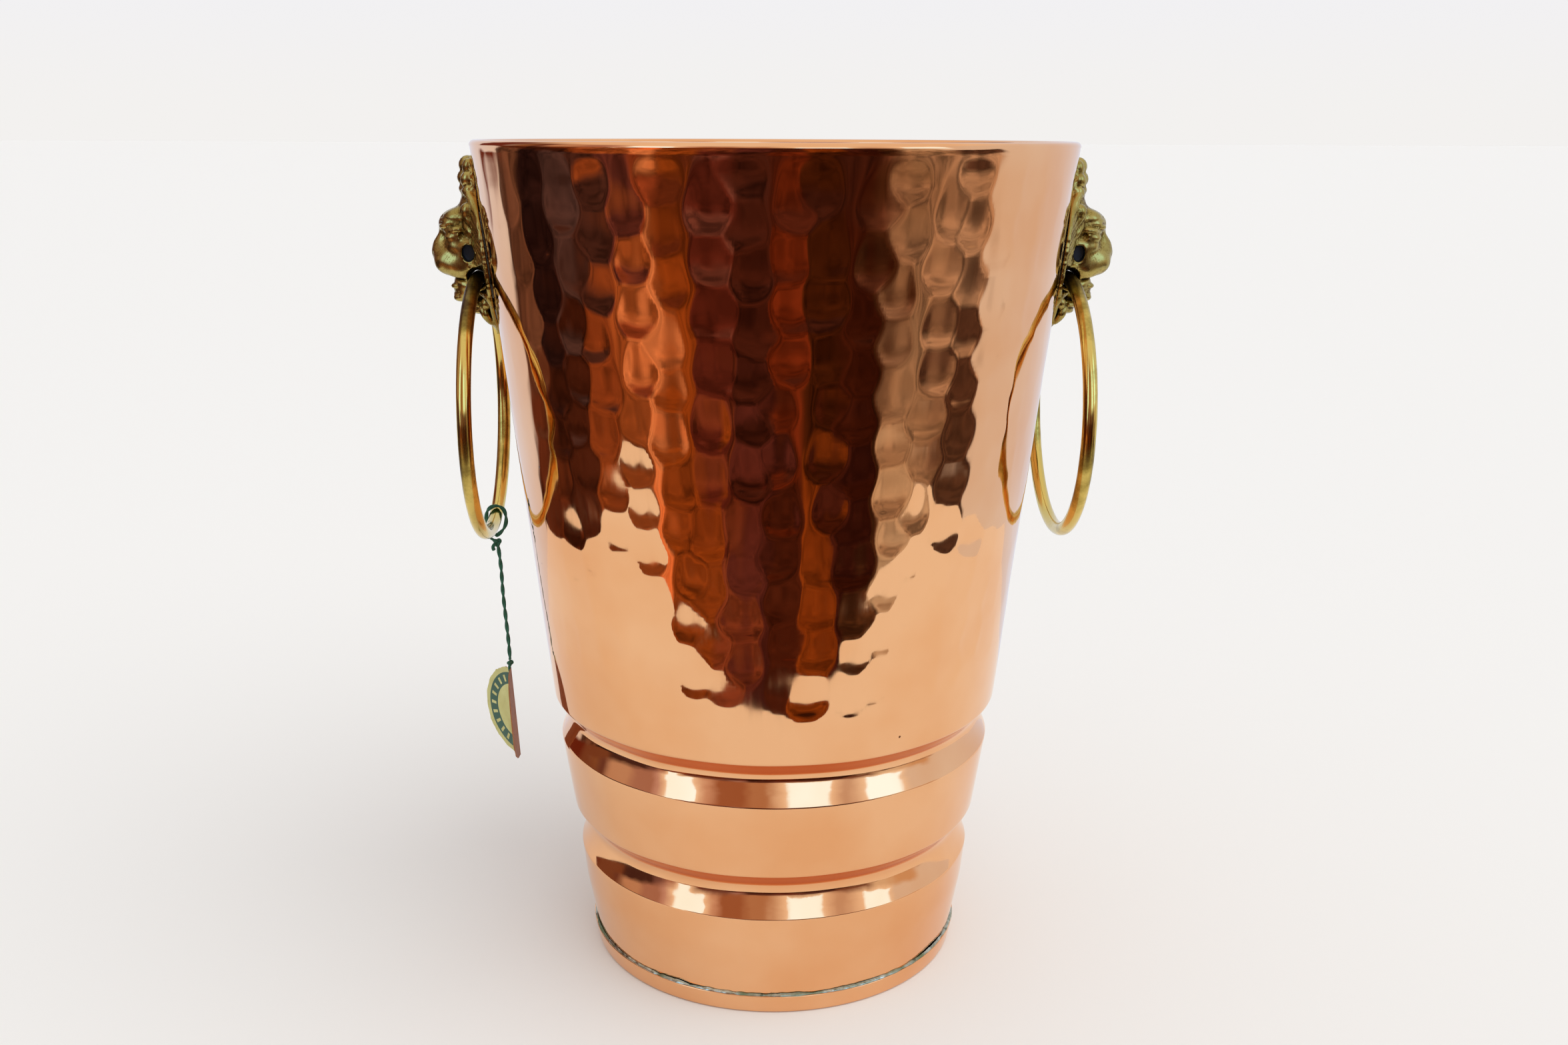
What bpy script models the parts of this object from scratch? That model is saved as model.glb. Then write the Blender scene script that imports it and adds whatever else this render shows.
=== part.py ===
"""Copper ice bucket with two lion masks, ring handles and a string tag.

Metres, +Z up. The origin is the centre of the base, on the surface that the bucket stands on.
The handles are at +X and -X. Each mask is modelled lying on a flat seat: local X points out of the wall,
local Y runs across the mask and local Z runs up the wall.
"""

import math

import bmesh
import bpy
from mathutils import Matrix, Vector

# Body
HEIGHT = 0.285
RIM_RADIUS = 0.100
SHEET = 0.0007
WALL_FOOT_RADIUS = 0.0789
WALL_FOOT_HEIGHT = 0.0955
UPPER_WAIST_RADIUS = 0.0730
UPPER_WAIST_HEIGHT = 0.0911
UPPER_CREASE_RADIUS = 0.0768
UPPER_CREASE_HEIGHT = 0.0799
BAND_FOOT_RADIUS = 0.0729
BAND_FOOT_HEIGHT = 0.0538
LOWER_WAIST_RADIUS = 0.0680
LOWER_WAIST_HEIGHT = 0.0487
LOWER_CREASE_RADIUS = 0.0709
LOWER_CREASE_HEIGHT = 0.0372
FOOT_BEND_RADIUS = 0.0696
FOOT_BEND_HEIGHT = 0.0250
FOOT_RADIUS = 0.0651
FOOT_FILLET = 0.0022
WAIST_FILLET = 0.0020
BEND_FILLET = 0.060

# Rolled rim and its wire
BEAD_RADIUS = 0.0017
BEAD_END_DEGREES = 245
# How far the crease under the bead lies below the bead's centre, as a share of its radius
BEAD_CREASE_SHARE = 0.25
WIRE_RADIUS = 0.0007

# Base pan and solder
PAN_SHEET = 0.00075
FLANGE_HEIGHT = 0.0067
PAN_CORNER = 0.0012
SOLDER_WIDTH = 0.0008
SOLDER_HEIGHT = 0.0007

# Lion masks
MASK_HEIGHT = 0.0586
MASK_WIDTH = 0.036
MASK_DEPTH = 0.0185
MASK_EDGE = 0.0018
MANE_RISE = 0.0014
MASK_TOP_BELOW_RIM = 0.0048
JAW_WIDTH = 0.012
# The jaw's column never takes more than this share of a narrow plate
JAW_MOST_SHARE = 0.6
HOLE_PAST_JAW = 0.00135
RING_CLEARANCE = 0.0006
VALLEY_CLEARANCE = 0.00045
CHEEK_HOLE_RADIUS = 0.00275
CHEEK_HOLE_DEPTH = 0.004
CHEEK_HOLE_OUT = 0.0062
CHEEK_HOLE_SHARE = 0.47

# Ring handles
RING_RADIUS = 0.0438
RING_BAR = 0.00475
RING_PLAY = 0.0008
RING_SEAT_OUT = 0.0047
RING_SEAT_SHARE = 0.318

# Fixings through the wall
STUD_RADIUS = 0.002
STUD_IN_MASK = 0.0055
STUD_PAST_NUT = 0.001
STUD_SHARES = {"lower": 0.157, "upper": 0.715}
WASHER_RADIUS = 0.0045
WASHER_THICKNESS = 0.001
NUT_ACROSS_FLATS = 0.007
NUT_THICKNESS = 0.0032

# Tag and string
STRING_ON_RING_DEGREES = 16
LOOP_STRAND = 0.0013
LOOP_DROP = 0.0075
LOOP_STEPS = 28
LOOP_SHOULDER = math.radians(80)
KNOT_RADIUS = 0.0016
STRING_DIAMETER = 0.0016
TAG_KNOT_RADIUS = 0.0012
TAG_RADIUS = 0.0175
TAG_THICKNESS = 0.0006
TAG_FRONT_LEAF_DEGREES = 275
TAG_BACK_LEAF_DEGREES = 132
TAG_LEAN_DEGREES = 3.5

# The string's own route, from its knot down to the knot at the card, counted from the middle of its loop
STRING_POINTS = (
    (0.0002, 0.0, -0.0122),
    (0.0006, 0.0002, -0.0200),
    (0.0007, 0.0000, -0.0290),
    (0.0011, -0.0002, -0.0380),
    (0.0016, -0.0001, -0.0470),
    (0.0018, 0.0, -0.0548),
)

# Where touching pieces would overlap as meshes, this gap is left between them
GAP = 0.0003
ROUND_STEPS = 56
WIRE_STEPS = 48
BAR_SIDES = 10
STUD_SIDES = 14
WASHER_SIDES = 18
NUT_SIDES = 12
HOLE_SIDES = 20
CHEEK_SIDES = 16
FILLET_STEPS = 3
INNER_FILLET_STEPS = 2
OUTER_ROLL_STEPS = 8
INNER_ROLL_STEPS = 5
CARD_STEPS = 12
SHARP_ANGLE = math.radians(35)

# One row for each station up the mask: share of the height, then shares of the depth on the middle line,
# of the half width of the raised face and of the half width of the plate
MASK_STATIONS = (
    (0.000, 0.10, 0.05, 0.06),
    (0.072, 0.22, 0.20, 0.36),
    (0.157, 0.54, 0.30, 0.62),
    (0.232, 0.73, 0.34, 0.82),
    (0.300, 0.71, 0.34, 0.92),
    (0.353, 0.75, 0.36, 0.96),
    (0.411, 0.94, 0.45, 1.00),
    (0.481, 1.00, 0.50, 1.00),
    (0.548, 0.92, 0.56, 0.97),
    (0.611, 0.76, 0.60, 0.90),
    (0.681, 0.79, 0.58, 0.78),
    (0.741, 0.56, 0.50, 0.62),
    (0.780, 0.37, 0.38, 0.50),
    (0.823, 0.40, 0.36, 0.47),
    (0.908, 0.38, 0.32, 0.42),
    (0.968, 0.27, 0.20, 0.28),
    (1.000, 0.12, 0.08, 0.10),
)
MASK_ROWS = 30
MASK_COLUMNS = (0.0, 0.14, 0.27, 0.40, 0.46, 0.64, 0.82, 1.0)
JAW_COLUMN = 0.40

COPPER = ("copper", (0.80, 0.36, 0.20), 1.0, 0.18)
BRASS = ("aged brass", (0.52, 0.40, 0.13), 1.0, 0.35)
STEEL = ("steel", (0.50, 0.50, 0.50), 1.0, 0.35)
SOLDER = ("soft solder", (0.62, 0.62, 0.60), 1.0, 0.40)
GREEN_STRING = ("green cotton", (0.01, 0.09, 0.06), 0.0, 0.90)
CARD = ("printed card", (0.57, 0.53, 0.20), 0.0, 0.70)


# Scene and materials


def clear_scene():
    for thing in list(bpy.data.objects):
        bpy.data.objects.remove(thing)


def material(finish):
    name, colour, metallic, roughness = finish
    made = bpy.data.materials.get(name) or bpy.data.materials.new(name)
    made.use_nodes = True
    shader = made.node_tree.nodes["Principled BSDF"]
    shader.inputs["Base Color"].default_value = (*colour, 1.0)
    shader.inputs["Metallic"].default_value = metallic
    shader.inputs["Roughness"].default_value = roughness
    return made


def add_object(name, mesh_or_curve, finish, parent=None):
    piece = bpy.data.objects.new(name, mesh_or_curve)
    bpy.context.scene.collection.objects.link(piece)
    piece.parent = parent
    if finish:
        piece.data.materials.append(material(finish))
    return piece


def add_empty(name, place):
    empty = bpy.data.objects.new(name, None)
    bpy.context.scene.collection.objects.link(empty)
    empty.matrix_world = place
    empty.empty_display_size = 0.01
    return empty


def mesh_from(name, form):
    """Turns a bmesh into a mesh, with its faces pointing out."""
    bmesh.ops.recalc_face_normals(form, faces=form.faces)
    mesh = bpy.data.meshes.new(name)
    form.to_mesh(mesh)
    form.free()
    mesh.shade_smooth()
    mesh.set_sharp_from_angle(angle=SHARP_ANGLE)
    return mesh


# Outlines, as lists of (radius, height)


def rounded(corners, steps=FILLET_STEPS):
    """The open line through the corners (x, y, fillet radius), each corner rounded by its own arc."""
    line = [Vector(corners[0][:2])]
    for before, corner, after in zip(corners, corners[1:], corners[2:]):
        point = Vector(corner[:2])
        back = (Vector(before[:2]) - point).normalized()
        ahead = (Vector(after[:2]) - point).normalized()
        half = back.angle(ahead) / 2
        if corner[2] <= 0 or half > math.radians(89.9):
            line.append(point)
            continue
        reach = min(corner[2] / math.tan(half), 0.45 * (Vector(before[:2]) - point).length)
        reach = min(reach, 0.45 * (Vector(after[:2]) - point).length)
        radius = reach * math.tan(half)
        centre = point + (back + ahead).normalized() * (radius / math.sin(half))
        start = point + back * reach - centre
        turn = start.angle_signed(point + ahead * reach - centre)
        for step in range(steps + 1):
            line.append(centre + Matrix.Rotation(-turn * step / steps, 2) @ start)
    line.append(Vector(corners[-1][:2]))
    return line


def inset(corners, distance):
    """The corners moved to the right of the line's direction, with their fillets grown or shrunk to match."""
    moved = []
    last = len(corners) - 1
    for index, (x, y, fillet) in enumerate(corners):
        ahead = Vector(corners[min(index + 1, last)][:2]) - Vector(corners[min(index, last - 1)][:2])
        behind = Vector(corners[max(index, 1)][:2]) - Vector(corners[max(index - 1, 0)][:2])
        right = Vector((ahead.y, -ahead.x)).normalized() + Vector((behind.y, -behind.x)).normalized()
        right = 2 * right / right.length_squared
        grown = fillet + distance if behind.cross(ahead) > 0 else max(fillet - distance, 0.0)
        moved.append((*(Vector((x, y)) + right * distance), grown if fillet else 0.0))
    return moved


def bead_centre():
    return Vector((RIM_RADIUS - BEAD_RADIUS, HEIGHT - BEAD_RADIUS))


def wall_slope():
    """How much the upper wall's radius grows for each metre of height."""
    return (RIM_RADIUS - WALL_FOOT_RADIUS) / (HEIGHT - WALL_FOOT_HEIGHT)


def wall_radius(height):
    return WALL_FOOT_RADIUS + (height - WALL_FOOT_HEIGHT) * wall_slope()


def foot_radius(height):
    """The plain foot's outer radius, below its bend."""
    share = (height - wall_foot_edge()) / (FOOT_BEND_HEIGHT - wall_foot_edge())
    return FOOT_RADIUS + (FOOT_BEND_RADIUS - FOOT_RADIUS) * share


def wall_foot_edge():
    """The height of the body's lower edge, which stands on the pan."""
    return PAN_SHEET + GAP


def body_corners():
    """The outside of the sheet, from under the rim down to its lower edge."""
    crease = bead_centre().y - BEAD_CREASE_SHARE * BEAD_RADIUS
    return [
        (wall_radius(crease), crease, 0.0),
        (WALL_FOOT_RADIUS, WALL_FOOT_HEIGHT, FOOT_FILLET),
        (UPPER_WAIST_RADIUS, UPPER_WAIST_HEIGHT, WAIST_FILLET),
        (UPPER_CREASE_RADIUS, UPPER_CREASE_HEIGHT, 0.0),
        (BAND_FOOT_RADIUS, BAND_FOOT_HEIGHT, FOOT_FILLET),
        (LOWER_WAIST_RADIUS, LOWER_WAIST_HEIGHT, WAIST_FILLET),
        (LOWER_CREASE_RADIUS, LOWER_CREASE_HEIGHT, 0.0),
        (FOOT_BEND_RADIUS, FOOT_BEND_HEIGHT, BEND_FILLET),
        (FOOT_RADIUS, wall_foot_edge(), 0.0),
    ]


def arc(centre, radius, start_degrees, end_degrees, steps):
    """Points along an arc, with the angles counted from the outward radius towards the top."""
    points = []
    for step in range(steps + 1):
        angle = math.radians(start_degrees + (end_degrees - start_degrees) * step / steps)
        points.append(centre + radius * Vector((math.cos(angle), math.sin(angle))))
    return points


# Forms


def revolve(outline):
    """Spins a closed outline of (radius, height) about the Z axis."""
    form = bmesh.new()
    corners = [form.verts.new((radius, 0.0, height)) for radius, height in outline]
    edges = [form.edges.new(pair) for pair in zip(corners, corners[1:] + corners[:1])]
    bmesh.ops.spin(
        form, geom=corners + edges, cent=(0, 0, 0), axis=(0, 0, 1), angle=math.tau,
        steps=ROUND_STEPS, use_merge=True,
    )
    bmesh.ops.remove_doubles(form, verts=form.verts, dist=1e-7)
    return form


def rod(radius, start, end, sides):
    """A round rod along X, from start to end."""
    form = bmesh.new()
    place = Matrix.Translation(((start + end) / 2, 0, 0)) @ Matrix.Rotation(math.pi / 2, 4, "Y")
    bmesh.ops.create_cone(
        form, cap_ends=True, segments=sides, radius1=radius, radius2=radius,
        depth=abs(end - start), matrix=place,
    )
    return form


def bored_disc(outer_at, bore, start, end, steps):
    """A disc or nut along X with a round bore; outer_at gives the outer radius at an angle."""
    form = bmesh.new()
    rings = []

    def bore_at(angle):
        return bore

    angles = [math.tau * step / steps for step in range(steps)]
    for x, radius_at in ((start, outer_at), (end, outer_at), (end, bore_at), (start, bore_at)):
        ring = [(x, radius_at(a) * math.cos(a), radius_at(a) * math.sin(a)) for a in angles]
        rings.append([form.verts.new(point) for point in ring])
    for ring, following in zip(rings, rings[1:] + rings[:1]):
        for step in range(steps):
            after = (step + 1) % steps
            form.faces.new((ring[step], ring[after], following[after], following[step]))
    return form


def tube(name, points, diameter, finish, parent, closed=False):
    """A round cord along the points, which are in the parent's frame."""
    curve = bpy.data.curves.new(name, "CURVE")
    curve.dimensions = "3D"
    curve.bevel_depth = diameter / 2
    curve.bevel_resolution = 2
    curve.use_fill_caps = True
    spline = curve.splines.new("POLY")
    spline.points.add(len(points) - 1)
    spline.use_cyclic_u = closed
    for knot, point in zip(spline.points, points):
        knot.co = (*point, 1.0)
    return add_object(name, curve, finish, parent)


def smooth_route(points, parts):
    """A smooth curve through the points, with this many parts between each two."""
    route = []
    ends = [points[0]] + [Vector(point) for point in points] + [points[-1]]
    for before, start, end, after in zip(ends, ends[1:], ends[2:], ends[3:]):
        for part in range(parts):
            t = part / parts
            pull = (Vector(end) - Vector(before)) / 2
            lead = (Vector(after) - Vector(start)) / 2
            near = (2 * t**3 - 3 * t**2 + 1) * Vector(start) + (t**3 - 2 * t**2 + t) * pull
            route.append(near + (3 * t**2 - 2 * t**3) * Vector(end) + (t**3 - t**2) * lead)
    return route + [Vector(points[-1])]


def cut(piece, cutter):
    """Takes the cutter's shape out of the piece with a Boolean that stays on it."""
    cutter.hide_render = True
    cutter.display_type = "WIRE"
    boolean = piece.modifiers.new(cutter.name, "BOOLEAN")
    boolean.operation = "DIFFERENCE"
    boolean.solver = "EXACT"
    boolean.object = cutter


# Body


def body_outline():
    """The sheet's section: down its outside, up its inside and round the rim, rolled inwards."""
    outside = body_corners()
    inside = inset(outside, SHEET)
    centre = bead_centre()
    start = math.degrees(math.asin(-BEAD_CREASE_SHARE))
    outer_roll = arc(centre, BEAD_RADIUS, start, BEAD_END_DEGREES, OUTER_ROLL_STEPS)
    inner_roll = arc(centre, BEAD_RADIUS - SHEET, start, BEAD_END_DEGREES, INNER_ROLL_STEPS)
    return rounded(outside) + rounded(inside, INNER_FILLET_STEPS)[::-1] + inner_roll + outer_roll[::-1]


def pan_outline():
    """The pan's section: flat under the body, with a short flange outside the foot."""
    reach = GAP + PAN_SHEET
    top = FLANGE_HEIGHT
    outside = [
        (0.0, 0.0, 0.0),
        (foot_radius(0.0) + reach, 0.0, PAN_CORNER),
        (foot_radius(top) + reach, top, 0.0),
    ]
    inside = [
        (foot_radius(top) + GAP, top, 0.0),
        (foot_radius(PAN_SHEET) + GAP, PAN_SHEET, PAN_CORNER - PAN_SHEET),
        (0.0, PAN_SHEET, 0.0),
    ]
    return rounded(outside) + rounded(inside, INNER_FILLET_STEPS)


def solder_outline():
    low = FLANGE_HEIGHT + GAP
    high = low + SOLDER_HEIGHT
    inner = foot_radius(low) + GAP
    return [Vector((inner, low)), Vector((inner + SOLDER_WIDTH, low)), Vector((foot_radius(high) + GAP, high))]


def build_body():
    shell = add_object("body_shell", mesh_from("body_shell", revolve(body_outline())), COPPER)
    wire = revolve(arc(bead_centre(), WIRE_RADIUS, 0, 300, 5))
    add_object("rim_wire", mesh_from("rim_wire", wire), STEEL)
    add_object("base_pan", mesh_from("base_pan", revolve(pan_outline())), COPPER)
    add_object("base_solder", mesh_from("base_solder", revolve(solder_outline())), SOLDER)
    return shell


# Masks


def seat_matrix(side):
    """The frame of a mask's seat: its origin is on the wall under the mask's lower tip. side is +1 or -1."""
    lean = math.atan(wall_slope())
    height = HEIGHT - MASK_TOP_BELOW_RIM - MASK_HEIGHT * math.cos(lean)
    seat = Matrix.Translation((wall_radius(height), 0, height)) @ Matrix.Rotation(lean, 4, "Y")
    return seat if side > 0 else Matrix.Rotation(math.pi, 4, "Z") @ seat


def ring_seat():
    """The pivot of a ring in its mask's frame: the middle of the bar at the top of the ring."""
    return Vector((RING_SEAT_OUT, 0, RING_SEAT_SHARE * MASK_HEIGHT))


def ring_drop(across):
    """How far the ring's bar has curved away from its highest point, this far across."""
    return RING_RADIUS - math.sqrt(RING_RADIUS**2 - across**2)


def station(share):
    """Depth on the middle line and half widths of the raised face and of the plate, at a share of the height."""
    for low, high in zip(MASK_STATIONS, MASK_STATIONS[1:]):
        if share <= high[0]:
            break
    part = (share - low[0]) / (high[0] - low[0])
    depth, face, plate = (a + (b - a) * part for a, b in zip(low[1:], high[1:]))
    return depth * MASK_DEPTH, face * MASK_WIDTH / 2, plate * MASK_WIDTH / 2


def mask_depth(across, height):
    """How far the mask stands out of its seat at a point."""
    middle, face, plate = station(height / MASK_HEIGHT)
    across = abs(across)
    if across < face:
        depth = MASK_EDGE + (middle - MASK_EDGE) * math.sqrt(1 - (across / face) ** 4)
    else:
        out = (across - face) / (plate - face)
        depth = MASK_EDGE + MANE_RISE * math.sin(math.pi * out)
    row = MASK_HEIGHT / MASK_ROWS
    clear = ring_drop(across) + RING_BAR / 2 + RING_CLEARANCE + row
    if across > JAW_WIDTH / 2 and abs(height - ring_seat().z) < clear:
        depth = min(depth, RING_SEAT_OUT - RING_BAR / 2 - VALLEY_CLEARANCE)
    return depth


def column_place(column, plate):
    """Where a column of the mesh lies across the mask: one column keeps to the side of the jaw."""
    jaw = min(JAW_WIDTH / 2, JAW_MOST_SHARE * plate)
    if column <= JAW_COLUMN:
        return jaw * column / JAW_COLUMN
    return jaw + (plate - jaw) * (column - JAW_COLUMN) / (1 - JAW_COLUMN)


def mask_form():
    """The relief as a grid of faces over a flat back."""
    form = bmesh.new()
    columns = [-column for column in MASK_COLUMNS[:0:-1]] + list(MASK_COLUMNS)
    front = []
    back = []
    for row in range(MASK_ROWS + 1):
        height = MASK_HEIGHT * row / MASK_ROWS
        plate = station(row / MASK_ROWS)[2]
        places = [math.copysign(column_place(abs(column), plate), column) for column in columns]
        front.append([form.verts.new((mask_depth(y, height), y, height)) for y in places])
        back.append([form.verts.new((GAP, y, height)) for y in (places[0], places[-1])])
    for low, high in zip(front, front[1:]):
        for left in range(len(columns) - 1):
            form.faces.new((low[left], low[left + 1], high[left + 1], high[left]))
    for (low, high), (low_front, high_front) in zip(zip(back, back[1:]), zip(front, front[1:])):
        form.faces.new((low[0], low[1], high[1], high[0]))
        form.faces.new((low[0], low_front[0], high_front[0], high[0]))
        form.faces.new((low[1], low_front[-1], high_front[-1], high[1]))
    form.faces.new([*back[0], *front[0][::-1]])
    form.faces.new([*back[-1], *front[-1][::-1]])
    return form


def across_rod(radius, start, end, sides):
    """A rod along Y."""
    form = rod(radius, start, end, sides)
    bmesh.ops.rotate(form, verts=form.verts, matrix=Matrix.Rotation(math.pi / 2, 3, "Z"))
    return form


def build_mask(name, seat):
    mask = add_object(name, mesh_from(name, mask_form()), BRASS, seat)
    # The bar rests on the bottom of its hole, where the hole's ends meet the ring's curve
    lift = RING_PLAY - GAP - ring_drop(JAW_WIDTH / 2)
    upright = seat.matrix_world.to_3x3().inverted() @ Vector((0, 0, lift))
    reach = JAW_WIDTH / 2 + HOLE_PAST_JAW
    hole = across_rod(RING_BAR / 2 + RING_PLAY, -reach, reach, HOLE_SIDES)
    cutter = add_object(f"{name}_ring_hole", mesh_from(f"{name}_ring_hole", hole), None, seat)
    cutter.location = ring_seat() + upright
    cut(mask, cutter)
    for hand, turn in (("near", -1), ("far", 1)):
        cheek = CHEEK_HOLE_SHARE * MASK_HEIGHT
        inner = station(CHEEK_HOLE_SHARE)[1] - CHEEK_HOLE_DEPTH
        outer = inner + 2 * CHEEK_HOLE_DEPTH
        drill = across_rod(CHEEK_HOLE_RADIUS, turn * inner, turn * outer, CHEEK_SIDES)
        label = f"{name}_{hand}_cheek_hole"
        cutter = add_object(label, mesh_from(label, drill), None, seat)
        cutter.location = (CHEEK_HOLE_OUT, 0, cheek)
        cut(mask, cutter)
    return mask


# Rings


def ring_form():
    """A round bar bent into a ring that hangs below its own origin."""
    form = bmesh.new()
    upright = Matrix.Rotation(math.pi / 2, 4, "X")
    made = bmesh.ops.create_circle(form, segments=BAR_SIDES, radius=RING_BAR / 2, matrix=upright)
    edges = list({edge for corner in made["verts"] for edge in corner.link_edges})
    bmesh.ops.spin(
        form, geom=made["verts"] + edges, cent=(0, 0, -RING_RADIUS), axis=(1, 0, 0), angle=math.tau,
        steps=WIRE_STEPS, use_merge=True,
    )
    bmesh.ops.remove_doubles(form, verts=form.verts, dist=1e-7)
    return form


# Fixings


def washer_face():
    """How far inside the wall's outer face a flat washer's front lies, clear of the curved wall."""
    return SHEET + GAP + WASHER_RADIUS * math.tan(math.pi / ROUND_STEPS)


def build_fixing(hand, level, seat, mask, shell):
    """A stud from the mask through the wall, with its washer and nut on the inside."""
    place = Vector((0, 0, STUD_SHARES[level] * MASK_HEIGHT))
    bore = STUD_RADIUS + GAP
    front = -washer_face()
    nut_front = front - WASHER_THICKNESS - GAP
    nut_back = nut_front - NUT_THICKNESS
    flat = NUT_ACROSS_FLATS / 2
    label = f"{hand}_{level}"

    def washer_edge(angle):
        return WASHER_RADIUS

    def nut_edge(angle):
        return flat / math.cos(angle % (math.pi / 3) - math.pi / 6)

    pieces = {
        "stud": (rod(STUD_RADIUS, nut_back - STUD_PAST_NUT, STUD_IN_MASK, STUD_SIDES), BRASS),
        "washer": (bored_disc(washer_edge, bore, front - WASHER_THICKNESS, front, WASHER_SIDES), BRASS),
        "nut": (bored_disc(nut_edge, bore, nut_back, nut_front, NUT_SIDES), BRASS),
        "stud_hole": (rod(bore, front, STUD_IN_MASK + GAP, STUD_SIDES), None),
    }
    for kind, (form, finish) in pieces.items():
        name = f"{label}_{kind}"
        piece = add_object(name, mesh_from(name, form), finish, seat)
        piece.location = place
        if kind == "stud_hole":
            cut(mask, piece)
            cut(shell, piece)


# Tag


def loop_points(radius):
    """A drop-shaped loop round the bar, in the plane across it, with its point below."""
    points = []
    for step in range(LOOP_STEPS):
        angle = math.tau * step / LOOP_STEPS
        away = max(0.0, (math.pi - abs(angle - math.pi)) - LOOP_SHOULDER) / (math.pi - LOOP_SHOULDER)
        reach = radius + (LOOP_DROP - radius) * away**2
        points.append((reach * math.sin(angle), 0, reach * math.cos(angle)))
    return points


def card_form():
    """A round card creased down its middle: two half discs that meet at the fold, which is the local Z axis."""
    form = bmesh.new()
    fold = [form.verts.new((0, 0, height)) for height in (TAG_RADIUS, -TAG_RADIUS)]
    middle = form.verts.new((0, 0, 0))
    for degrees in (TAG_FRONT_LEAF_DEGREES, TAG_BACK_LEAF_DEGREES):
        way = Vector((math.cos(math.radians(degrees)), math.sin(math.radians(degrees)), 0))
        edge = [fold[0]]
        for step in range(1, CARD_STEPS):
            angle = math.pi * step / CARD_STEPS
            point = TAG_RADIUS * (way * math.sin(angle) + Vector((0, 0, math.cos(angle))))
            edge.append(form.verts.new(point))
        edge.append(fold[1])
        for near, far in zip(edge, edge[1:]):
            form.faces.new((middle, near, far))
    return form


def build_tag(pivot):
    """The string's loop, knot and drop, and the card, all in the frame of the loop's centre on the bar."""
    lean = math.radians(STRING_ON_RING_DEGREES)
    radius = RING_BAR / 2 / math.cos(lean) + LOOP_STRAND / 2 * (1 + math.tan(lean)) + GAP
    tube("string_loop", loop_points(radius), LOOP_STRAND, GREEN_STRING, pivot, closed=True)
    knot_height = -LOOP_DROP - LOOP_STRAND / 2 - GAP - KNOT_RADIUS
    knots = {
        "string_knot": (KNOT_RADIUS, Vector((0, 0, knot_height))),
        "tag_knot": (TAG_KNOT_RADIUS, Vector(STRING_POINTS[-1]) - Vector((0, 0, TAG_KNOT_RADIUS + GAP))),
    }
    for name, (size, place) in knots.items():
        form = bmesh.new()
        bmesh.ops.create_icosphere(form, subdivisions=2, radius=size)
        knot = add_object(name, mesh_from(name, form), GREEN_STRING, pivot)
        knot.location = place
    tube("tag_string", smooth_route(STRING_POINTS, 3), STRING_DIAMETER, GREEN_STRING, pivot)
    card = add_object("tag_card", mesh_from("tag_card", card_form()), CARD, pivot)
    card.location = knots["tag_knot"][1] - Vector((0, 0, TAG_KNOT_RADIUS + GAP + TAG_RADIUS))
    card.rotation_euler = (0, -math.radians(TAG_LEAN_DEGREES), 0)
    thick = card.modifiers.new("thickness", "SOLIDIFY")
    thick.thickness = TAG_THICKNESS
    thick.offset = 0
    thick.use_even_offset = True


# The whole bucket


def main():
    clear_scene()
    shell = build_body()
    for hand, side in (("right", 1), ("left", -1)):
        seat = add_empty(f"{hand}_mask_seat", seat_matrix(side))
        mask = build_mask(f"{hand}_lion_mask", seat)
        for level in STUD_SHARES:
            build_fixing(hand, level, seat, mask, shell)
        pivot = add_empty(f"{hand}_ring_pivot", Matrix.Translation(seat_matrix(side) @ ring_seat()))
        add_object(f"{hand}_ring", mesh_from(f"{hand}_ring", ring_form()), BRASS, pivot)
    lean = math.radians(STRING_ON_RING_DEGREES)
    hang = Vector((0, RING_RADIUS * math.sin(lean), -RING_RADIUS * (1 + math.cos(lean))))
    build_tag(add_empty("tag_pivot", Matrix.Translation(seat_matrix(-1) @ ring_seat() + hang)))


main()
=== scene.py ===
"""The looks of a copper ice bucket: hammered body, cast lion masks, brass rings and a paper tag on a string.

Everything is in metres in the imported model's frame. Shapes are worked out in millimetres and scaled by MM.
"""

import math
from functools import partial

import bpy
import numpy as np
from mathutils import Matrix, Vector


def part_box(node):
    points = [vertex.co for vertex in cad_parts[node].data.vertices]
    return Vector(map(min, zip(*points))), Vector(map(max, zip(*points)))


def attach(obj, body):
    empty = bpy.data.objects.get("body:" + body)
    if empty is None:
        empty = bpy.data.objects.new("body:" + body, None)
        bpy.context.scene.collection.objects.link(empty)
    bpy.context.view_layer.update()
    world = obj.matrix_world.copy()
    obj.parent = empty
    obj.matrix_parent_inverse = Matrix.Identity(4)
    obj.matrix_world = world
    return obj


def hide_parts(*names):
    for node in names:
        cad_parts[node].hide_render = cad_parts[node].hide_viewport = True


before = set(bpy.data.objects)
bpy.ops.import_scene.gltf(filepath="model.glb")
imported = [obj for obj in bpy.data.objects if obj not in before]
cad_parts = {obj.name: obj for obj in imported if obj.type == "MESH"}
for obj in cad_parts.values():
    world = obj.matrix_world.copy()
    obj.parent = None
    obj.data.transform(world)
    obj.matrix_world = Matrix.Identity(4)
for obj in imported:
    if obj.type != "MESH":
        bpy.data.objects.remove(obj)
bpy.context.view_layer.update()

MM = 0.001
SEED = 20

# Camera, in metres
CAMERA_DISTANCE = 0.514
CAMERA_HEIGHT = 0.2877
CAMERA_TURN = math.radians(2.0)
CAMERA_HEADING = CAMERA_TURN + 0.0065
CAMERA_ROLL = 0.004
CAMERA_PITCH = math.radians(14.6)
CAMERA_LENS = 34.44
CAMERA_SENSOR = 36.0
CAMERA_SEES = (0.01, 100.0)

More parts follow.
